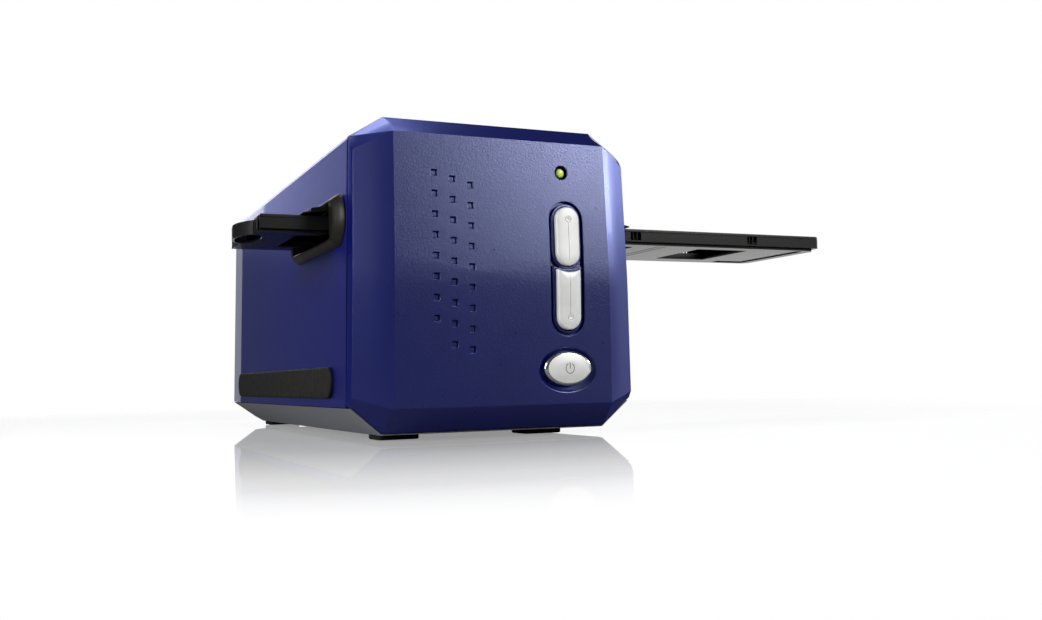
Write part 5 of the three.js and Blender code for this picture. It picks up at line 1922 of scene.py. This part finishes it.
    def build_cover(self) -> None:
        """Models the cover with its seam, catches and windows, and dresses it."""
        seam = self.high - self.seam_drop
        step = 0.12
        lid = bench.flared("holder_lid", Axis.Z, self.cover_outline, [
            (self.cover_low, 0.12), (self.cover_low + 0.15, 0), (seam - step, 0), (seam, step),
            (seam + step, 0), (self.high - 0.4, 0), (self.high - 0.15, 0.1), (self.high, 0.4)])
        bench.carve(lid, bench.prism("lid_hollow", Axis.Z, self.cover_outline(self.wall),
                                     self.cover_low - self.over, self.high - self.roof))
        shift, width, height = self.catch
        z = self.cover_low + self.roof / 2
        catches = [bench.block("catch_cut", (x + shift - width / 2, self.near - 1, z),
                               (x + shift + width / 2, self.far + 1, z + height)) for x in self.middles]
        bench.carve(lid, bench.gather("catches_cut", *catches),
                    self.window_cuts("lid_windows", self.high - self.roof, self.high),
                    self.finger_cut(self.cover_low, self.high))
        bench.finish(lid)
        dress(lid, Finish.BLACK, "slide_holder", "black_plastic", "holder_cover")

    def build_catches(self) -> None:
        """Models the thin ribs that show in the catch openings and dresses them."""
        shift, _, height = self.catch
        z = self.cover_low + self.roof / 2
        ribs = []
        for x in self.middles:
            for u in (-0.9, 0.9):
                middle = x + shift + u
                for y in (self.near + 0.5, self.far - self.wall + 0.1):
                    ribs.append(bench.block("catch_rib", (middle - 0.25, y, z + 0.1),
                                            (middle + 0.25, y + 1, z + height - 0.1)))
        piece = bench.gather("holder_catches", *ribs)
        bench.round_edges(piece, 0.12, 2)
        bench.smooth(piece, 40)
        dress(piece, Finish.BLACK, "slide_holder", "black_plastic")

    def build(self) -> None:
        """Models the whole holder."""
        self.build_base()
        self.build_cover()
        self.build_catches()


@dataclass
class ScanButtons:
    """Two crowned silver buttons, each with a ring mark and a fine engraved line."""

    layout: ButtonLayout
    crown: tuple[Point, ...] = ((1, 0), (0.65, 0.06), (0.42, 0.2), (0.27, 0.45), (0.18, 0.9), (0.1, 1.6),
                                (0.03, 2.6), (0, 3.8))
    ring: float = 1.15
    ring_tube: float = 0.2
    line_width: float = 0.22
    line_depth: float = 0.14
    wing: float = 1.3
    flange: float = 1.1
    stem: float = 1.8
    stem_end: float = 6

    def build_one(self, name: str, outline: Callable[[float], Outline], span: Point, ring_z: float,
                  line: Point, body: str, node: str) -> None:
        """Models one button and dresses it.

        Args:
            name: the piece's name.
            outline: gives its outline, grown by a margin.
            span: its bottom and top.
            ring_z: height of the ring mark.
            line: bottom and top of the engraved line.
            body: the body that it rides on.
            node: the node that it replaces.
        """
        layout, form = self.layout, self.layout.form
        x, front = layout.capsule_x, -layout.proud
        cap = bench.flared(name, Axis.Y, outline, [(layout.flange_back, 0)] + [
            (front + deep, -inset) for deep, inset in self.crown])
        w = self.line_width / 2
        deep = front + self.line_depth
        line_cut = bench.block("line_cut", (x - w, front - 1, line[0]), (x + w, deep, line[1]))
        bpy.ops.object.select_all(action="DESELECT")
        bpy.ops.mesh.primitive_torus_add(
            location=bench.place(Vector((x, front, ring_z))), rotation=(math.pi / 2, 0, 0),
            major_radius=self.ring * MM, minor_radius=self.ring_tube * MM, major_segments=40,
            minor_segments=12)
        ring_cut = bench.adopt("ring_cut")
        bpy.ops.object.transform_apply(location=True, rotation=True, scale=True)
        dot = bench.pipe("dot_cut", Axis.Y, x, ring_z, [
            (front - 1, 0.5), (front, 0.5), (front + 0.1, 0.35), (front + 0.14, 0.1)])
        bench.carve(cap, line_cut, ring_cut, dot)
        form.bend(cap, 2.5)
        wing = layout.width / 2 + self.wing
        low, high = span[0] + layout.width / 2, span[1] - layout.width / 2
        near = form.flange_at(low, high)
        flange = bench.block("flange", (x - wing, near, low), (x + wing, near + self.flange, high))
        stem = bench.pipe("stem", Axis.Y, x, sum(span) / 2, [(near, self.stem), (self.stem_end, self.stem)])
        bench.carve(cap, flange, stem, join=True)
        bench.finish(cap, 42)
        dress(cap, Finish.SATIN, body, "silver", node)

    def build(self) -> None:
        """Models both buttons."""
        layout = self.layout
        r = layout.width / 2
        (low, high), (low2, high2) = layout.upper_span(), layout.lower_span()
        self.build_one("upper_cap", layout.upper, (low, high), high - r, (low + 0.9, high - r - 1.5),
                       "upper_button", "scan_button_upper")
        self.build_one("lower_cap", layout.lower, (low2, high2), low2 + r, (low2 + r + 1.5, high2 - 1.7),
                       "lower_button", "scan_button_lower")


@dataclass
class PowerButton:
    """Oval power button: a satin face inside a bright bevel, with a standby mark."""

    layout: ButtonLayout
    dome: float = 0.8
    flare: tuple[Point, ...] = ((0.75, 0), (0.6, 0.3), (0.4, 0.72), (0.1, 0.8), (-0.3, 0.74), (-0.65, 0.52),
                                (-0.98, 0.15), (-1.2, -0.25))
    edge: float = 0.5
    wing: float = 1.3
    flange: float = 1.1
    stem: float = 1.8
    stem_end: float = 6
    mark: float = 1.75
    stroke: float = 0.32
    mark_gap: float = 28
    mark_depth: float = 0.14

    def halves(self, grow: float) -> Point:
        """Gives half the button's width and height, grown by a margin that is smaller upwards."""
        half_x, half_z = self.layout.power_half
        return half_x + grow, half_z + 0.7 * grow

    def outline(self, grow: float, share: float = 1) -> Outline:
        """Gives the button's outline, grown by a margin and then scaled."""
        half_x, half_z = self.halves(grow)
        return ellipse(self.layout.power_x, self.layout.power_z, half_x * share, half_z * share)

    def mark_parts(self, name: str, stroke: float, low: float, high: float) -> Piece:
        """Makes the standby mark: an open ring with a bar in its gap.

        Args:
            name: the part's name.
            stroke: width of its strokes.
            low: its front.
            high: its back.

        Returns:
            The mark as one object.
        """
        x, z = self.layout.power_x, self.layout.power_z
        steps = 36
        outer = arc(x, z, self.mark + stroke / 2, (self.mark + stroke / 2) * 1.1, 90 + self.mark_gap,
                    450 - self.mark_gap, steps)
        inner = arc(x, z, self.mark - stroke / 2, (self.mark - stroke / 2) * 1.1, 450 - self.mark_gap,
                    90 + self.mark_gap, steps)
        ring = bench.prism(name, Axis.Y, outer + inner, low, high)
        bar = bench.block(name, (x - stroke / 2, low, z - 0.1), (x + stroke / 2, high, z + self.mark * 1.25))
        return bench.gather(name, ring, bar)

    def build(self) -> None:
        """Models the button and its mark, and dresses both."""
        layout, form = self.layout, self.layout.form
        front = -layout.proud
        rings = [(layout.flange_back, layout.power(0))] + [
            (deep, self.outline(grow)) for deep, grow in self.flare]
        rings += [(front + self.dome * share * share, self.outline(-self.edge, share))
                  for share in (1, 0.85, 0.7, 0.55, 0.4)]
        cap = bench.loft("power_cap", Axis.Y, rings)
        bench.carve(cap, self.mark_parts("mark_cut", self.stroke, front - 1, front + self.mark_depth))
        form.bend(cap, 1.5)
        reach = layout.power_half[1] + self.wing
        near = form.flange_at(layout.power_z - reach, layout.power_z + reach)
        flange = bench.prism("power_flange", Axis.Y, layout.power(self.wing), near, near + self.flange)
        stem = bench.pipe("power_stem", Axis.Y, layout.power_x, layout.power_z, [
            (near, self.stem), (self.stem_end, self.stem)])
        bench.carve(cap, flange, stem, join=True)
        bench.finish(cap, 42)
        dress(cap, Finish.BRIGHT, "main_switch", "silver", "power_button")
        cap.data.materials.append(Finish.SATIN.material())
        half_x, half_z = self.halves(-self.edge)
        for face in cap.data.polygons:
            at = (face.center - bench.origin) / MM
            inside = ((at.x - layout.power_x) / half_x) ** 2 + ((at.z - layout.power_z) / half_z) ** 2 < 1
            face.material_index = int(inside and at.y + form.bow_at(at.z) < front + self.dome + 0.05)
        ink = self.mark_parts("standby_mark", self.stroke - 0.04, front + self.mark_depth / 2 + 0.03,
                              front + self.mark_depth)
        form.bend(ink, 1.5)
        bench.finish(ink, 40)
        dress(ink, Finish.MARK, "main_switch", "silver")


@dataclass
class StatusLamp:
    """Small domed lamp in its hole."""

    layout: ButtonLayout
    radius: float = 1.7
    dome: tuple[Point, ...] = ((-0.35, 1), (0, 0.96), (0.25, 0.82), (0.42, 0.55), (0.5, 0.2))
    back: float = 10.25
    collar: float = 3.6
    collar_depth: float = 1.2

    def build(self) -> None:
        """Models the lamp and dresses it."""
        (x, z), form = self.layout.lamp, self.layout.form
        r, front = self.radius, -form.bow_at(z)
        near = form.flange_at(z - self.collar, z + self.collar)
        lens = bench.pipe("lamp_lens", Axis.Y, x, z, [
            (self.back, r), (near + self.collar_depth, r), (near + self.collar_depth, self.collar),
            (near, self.collar), (near, r), *((front - out, r * share) for out, share in self.dome)], 40)
        bench.smooth(lens, 45)
        dress(lens, Finish.LAMP, "housing", "lamp_green", "status_lamp")


@dataclass
class RearSockets:
    """Data socket in a steel shell and a round power jack, both on the main board."""

    near: float = 256.8
    far: float = 271.8
    low: float = 16.75
    height: float = 11
    usb: Point = (-28, 12)
    usb_cavity: Place = (8.6, 7.8, 9)
    flare: float = 0.3
    tongue: Point = (5.6, 3.2)
    jack: Point = (-4, 9)
    bore: float = 3.2
    pin: float = 1
    jack_depth: float = 9

    def build_usb(self) -> None:
        """Models the data socket with its tongue and contacts, and dresses it."""
        x, width = self.usb
        z = self.low + self.height / 2
        shell = bench.block("data_socket", (x - width / 2, self.near, self.low),
                            (x + width / 2, self.far, self.low + self.height))
        bench.round_edges(shell, 0.6, 3)
        across, tall, deep = self.usb_cavity
        half_u, half_v = across / 2, tall / 2
        hole, mouth = (rounded(x - half_u - g, x + half_u + g, z - half_v - g, z + half_v + g, 1)
                       for g in (0, self.flare))
        bench.carve(shell, bench.loft("usb_cavity", Axis.Y, [
            (self.far - deep, hole), (self.far - self.flare, hole), (self.far, mouth),
            (self.far + 1, mouth)]))
        u, v = self.tongue
        tongue = bench.block("usb_tongue", (x - u / 2, self.far - deep - 0.5, z - v / 2),
                             (x + u / 2, self.far - 1, z + v / 2))
        bench.round_edges(tongue, 0.25, 2)
        bench.carve(shell, tongue, join=True)
        bench.finish(shell)
        dress(shell, Finish.STEEL, "housing", "steel", "usb_socket")
        shell.data.materials.append(Finish.INNER.material())
        for face in shell.data.polygons:
            at = (face.center - bench.origin) / MM
            inside = abs(at.x - x) < u / 2 + 0.1 and abs(at.z - z) < v / 2 + 0.1
            face.material_index = int(inside and at.y > self.far - deep - 0.2)
        pads = [bench.block("usb_contact", (x + s - 0.4, self.far - deep + 0.3, z + side * v / 2 - 0.05),
                            (x + s + 0.4, self.far - 1.8, z + side * v / 2 + 0.05))
                for s in (-1.3, 1.3) for side in (-1, 1)]
        contacts = bench.gather("usb_contacts", *pads)
        bench.round_edges(contacts, 0.03, 1)
        dress(contacts, Finish.GOLD, "housing", "steel")

    def build_jack(self) -> None:
        """Models the power jack with its pin and dresses it."""
        x, width = self.jack
        z = self.low + self.height / 2
        block = bench.block("dc_jack", (x - width / 2, self.near, self.low),
                            (x + width / 2, self.far, self.low + self.height))
        bench.round_edges(block, 0.5, 3)
        deep = self.far - self.jack_depth
        bench.carve(block, bench.pipe("jack_bore", Axis.Y, x, z, [
            (deep, self.bore), (self.far - 0.4, self.bore), (self.far, self.bore + 0.4),
            (self.far + 1, self.bore + 0.4)], 40))
        bench.finish(block)
        dress(block, Finish.BLACK, "housing", "black_plastic", "power_jack")
        pin = bench.pipe("jack_pin", Axis.Y, x, z, [
            (deep - 0.5, self.pin), (self.far - 1.6, self.pin), (self.far - 1.2, self.pin * 0.8),
            (self.far - 1, self.pin * 0.3)])
        bench.smooth(pin, 45)
        dress(pin, Finish.GOLD, "housing", "steel")

    def build(self) -> None:
        """Models both sockets."""
        self.build_usb()
        self.build_jack()


@dataclass
class Innards:
    """Frame pieces that stay as they are and only get their finish."""

    finishes: dict[Finish, tuple[str, ...]] = field(default_factory=lambda: {
        Finish.INNER: ("film_guide", "lamp_housing", "carriage_frame", "motor_cradle", "switch_upper",
                       "switch_lower", "switch_power", "scan_chip", "line_sensor", "lens_barrel"),
        Finish.BOARD: ("button_board", "lamp_board", "sensor_board", "main_board"),
        Finish.STEEL: ("chassis", "guide_rod_left", "guide_rod_right", "gear_axle", "motor"),
        Finish.NYLON: ("reduction_gear", "motor_pinion", "carriage_rack", "diffuser", "lamp_emitter"),
        Finish.GLASS: ("lens_glass",),
        Finish.MIRROR: ("mirror",),
    })

    def dress(self) -> None:
        """Gives every piece that stays its finish."""
        for finish, names in self.finishes.items():
            for name in names:
                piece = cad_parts[name]
                piece.data.materials.clear()
                piece.data.materials.append(finish.material())
                log.info("%s: finished in %s", name, finish.value.name)


@dataclass
class Studio:
    """White floor, plain backdrop, soft lamps and the camera."""

    eye: Place = (-160.7, -370.6, 21.2)
    yaw: float = -24.374
    pitch: float = 3.667
    roll: float = -1.278
    lens: float = 37.39
    floor_half: float = 4
    half_width: float = 57.4
    length: float = 272
    floor_shade: tuple[float, ...] = (0.22, 0.22, 0.225, 1)
    floor_bounce: tuple[float, ...] = (0.55, 0.55, 0.56, 1)
    floor_white: float = 0.78
    floor_gloss: Point = (0.062, 0.08)
    mirror: Point = (0.64, 0.2)
    mirror_reach: Point = (0.03, 0.2)
    mirror_end: Point = (0.16, 0.22)
    floor_fade: Point = (0.1, 0.42)
    backdrop: tuple[Point, Point, Point] = ((-0.15, 0), (-0.15, 0.15), (0.5, 0.3))
    fill: float = 0.07
    fill_colour: Colour = (0.9, 0.93, 1, 1)
    lamps: tuple[tuple[str, float, float, float, Point, float], ...] = (
        ("key", 34, 27.5, 1.6, (0.38, 0.85), 18.5), ("right", 87, 14.5, 0.75, (0.1, 0.11), 30),
        ("top", -172, 64, 0.6, (0.35, 0.1), 9.5), ("left", -80, 19, 0.5, (0.18, 0.24), 19),
        ("back", -171, 22, 0.8, (0.1, 0.36), 4))
    lit: Place = (0, 20, 60)

    def camera(self) -> None:
        """Places the camera at the photograph's viewing angle."""
        data = bpy.data.cameras.new("camera")
        data.lens = self.lens
        data.clip_start = 0.01
        camera = bpy.data.objects.new("camera", data)
        bpy.context.scene.collection.objects.link(camera)
        yaw, pitch, roll = (math.radians(a) for a in (self.yaw, self.pitch, self.roll))
        ahead = Vector((-math.sin(yaw) * math.cos(pitch), math.cos(yaw) * math.cos(pitch), math.sin(pitch)))
        level = Vector((math.cos(yaw), math.sin(yaw), 0))
        above = level.cross(ahead)
        right = level * math.cos(roll) + above * math.sin(roll)
        up = above * math.cos(roll) - level * math.sin(roll)
        turn = Matrix((right, up, -ahead)).transposed()
        camera.matrix_world = Matrix.Translation(bench.place(Vector(self.eye))) @ turn.to_4x4()
        bpy.context.scene.camera = camera

    def floor(self) -> None:
        """Lays a white floor that takes the shadow, with a reflection that fades away from the body."""
        bpy.ops.object.select_all(action="DESELECT")
        bpy.ops.mesh.primitive_plane_add(size=2 * self.floor_half, location=(0, 0, -0.0002))
        floor = bench.adopt("floor")
        sheet = Sheet("pale_floor")
        middle = bench.place(Vector((0, self.length / 2, 0)))
        away = self.distance(sheet, middle, Vector((self.half_width, self.length / 2, 0)) * MM)
        path = sheet.node("LightPath").outputs
        across = sheet.node("SeparateXYZ", Vector=sheet.coordinates).outputs["X"]
        gloss = sheet.math("MULTIPLY", path["Is Glossy Ray"], sheet.spread(across, 0, 1, *self.floor_gloss))
        plain = sheet.math("MAXIMUM", path["Is Camera Ray"], path["Is Transmission Ray"])
        seen = sheet.math("MAXIMUM", plain, gloss)
        sheet.feed("Emission Strength", sheet.spread(seen, 0, self.floor_white, 0, 1))
        sheet.feed("Base Color", sheet.between(path["Is Diffuse Ray"], self.floor_shade, self.floor_bounce))
        sheet.set(Roughness=0.9, Specular_IOR_Level=0)
        mirror = sheet.node("BsdfGlossy", Color=(1, 1, 1, 1), Roughness=0.02).outputs["BSDF"]
        near = sheet.math("MULTIPLY", sheet.spread(away, 1, 0, *self.mirror_end), path["Is Camera Ray"])
        share = sheet.math("MULTIPLY", sheet.spread(away, *self.mirror, *self.mirror_reach), near)
        shine = sheet.layered(share, sheet.shader.outputs["BSDF"], mirror)
        open_air = sheet.node("BsdfTransparent").outputs["BSDF"]
        sheet.show(sheet.layered(sheet.spread(away, 0, 1, *self.floor_fade), shine, open_air))
        floor.data.materials.append(sheet.owner)

    def distance(self, sheet: Sheet, middle: Vector, half: Vector) -> Socket:
        """Gives how far a point of the floor lies outside the body's footprint.

        Args:
            sheet: the floor's node sheet.
            middle: the footprint's middle.
            half: half its sizes.

        Returns:
            The distance in metres.
        """
        zero = (0, 0, 0)
        steps = (("MULTIPLY", (1, 1, 0)), ("SUBTRACT", (middle.x, middle.y, 0)), ("ABSOLUTE", zero),
                 ("SUBTRACT", tuple(half)), ("MAXIMUM", zero), ("LENGTH", zero))
        source = sheet.coordinates
        for operation, value in steps:
            node = sheet.node("VectorMath", {"operation": operation})
            sheet.put(node.inputs[0], source)
            sheet.put(node.inputs[1], value)
            source = node.outputs["Value" if operation == "LENGTH" else "Vector"]
        return source

    def lamp(self, name: str, azimuth: float, elevation: float, distance: float, size: Point,
             radiance: float) -> None:
        """Hangs a soft rectangular lamp that faces the middle of the body's front.

        Args:
            name: the lamp's name.
            azimuth: degrees to the right of straight in front.
            elevation: degrees above the floor.
            distance: metres from the front.
            size: its width and height in metres.
            radiance: brightness of its surface, where 1 is white.
        """
        data = bpy.data.lights.new(name, "AREA")
        data.shape = "RECTANGLE"
        data.size, data.size_y = size
        data.energy = radiance * math.pi * size[0] * size[1]
        lamp = bpy.data.objects.new(name, data)
        bpy.context.scene.collection.objects.link(lamp)
        turn, rise = math.radians(azimuth), math.radians(elevation)
        towards = Vector((math.sin(turn) * math.cos(rise), -math.cos(turn) * math.cos(rise), math.sin(rise)))
        lamp.location = bench.place(Vector(self.lit)) + towards * distance
        lamp.rotation_euler = towards.to_track_quat("Z", "Y").to_euler()

    def world(self) -> None:
        """Gives a white backdrop to the camera, to gloss and to glass, and soft dim light to the rest."""
        sheet = Sheet("studio", world=True)
        bpy.context.scene.world = sheet.owner
        path = sheet.node("LightPath").outputs
        direction = sheet.node("TexCoord").outputs["Generated"]
        split = sheet.node("SeparateXYZ", Vector=direction).outputs
        shown = sheet.math("MAXIMUM", path["Is Glossy Ray"], path["Is Transmission Ray"])
        for part, (start, end) in zip("XYZ", self.backdrop):
            share = sheet.node("MapRange", {"interpolation_type": "SMOOTHSTEP"}, Value=split[part],
                               From_Min=start, From_Max=end)
            shown = sheet.math("MULTIPLY", shown, share.outputs["Result"])
        shown = sheet.math("MAXIMUM", shown, path["Is Camera Ray"])
        dim, white = (sheet.node("Background", Color=colour, Strength=strength).outputs["Background"]
                      for colour, strength in ((self.fill_colour, self.fill), ((1, 1, 1, 1), 1)))
        sheet.show(sheet.layered(shown, dim, white))

    def build(self) -> None:
        """Sets up the whole studio."""
        bpy.context.scene.view_settings.view_transform = "Standard"
        self.camera()
        self.floor()
        self.world()
        for name, *values in self.lamps:
            self.lamp(f"{name}_lamp", *values)


def main() -> None:
    """Builds the studio and every sub-assembly in order."""
    for name in ("Cube", "Light", "Camera"):
        if name in bpy.data.objects:
            bpy.data.objects.remove(bpy.data.objects[name])
    Studio().build()
    form = BodyForm()
    layout = ButtonLayout(form)
    feet = Feet(form)
    screws = BaseScrews(form)
    opening = SlotOpening(form)
    FrontCover(form, layout).build()
    MainCover(form).build()
    RearCover(form).build()
    BaseTray(form, feet, screws).build()
    feet.build()
    screws.build()
    SidePads(form).build()
    SlotFrames(opening).build()
    DustDoors(opening).build()
    SlideHolder().build()
    ScanButtons(layout).build()
    PowerButton(layout).build()
    StatusLamp(layout).build()
    RearSockets().build()
    Innards().dress()


if __name__ == "__main__":
    logging.basicConfig(level=logging.INFO, format="%(name)s %(message)s")
    main()
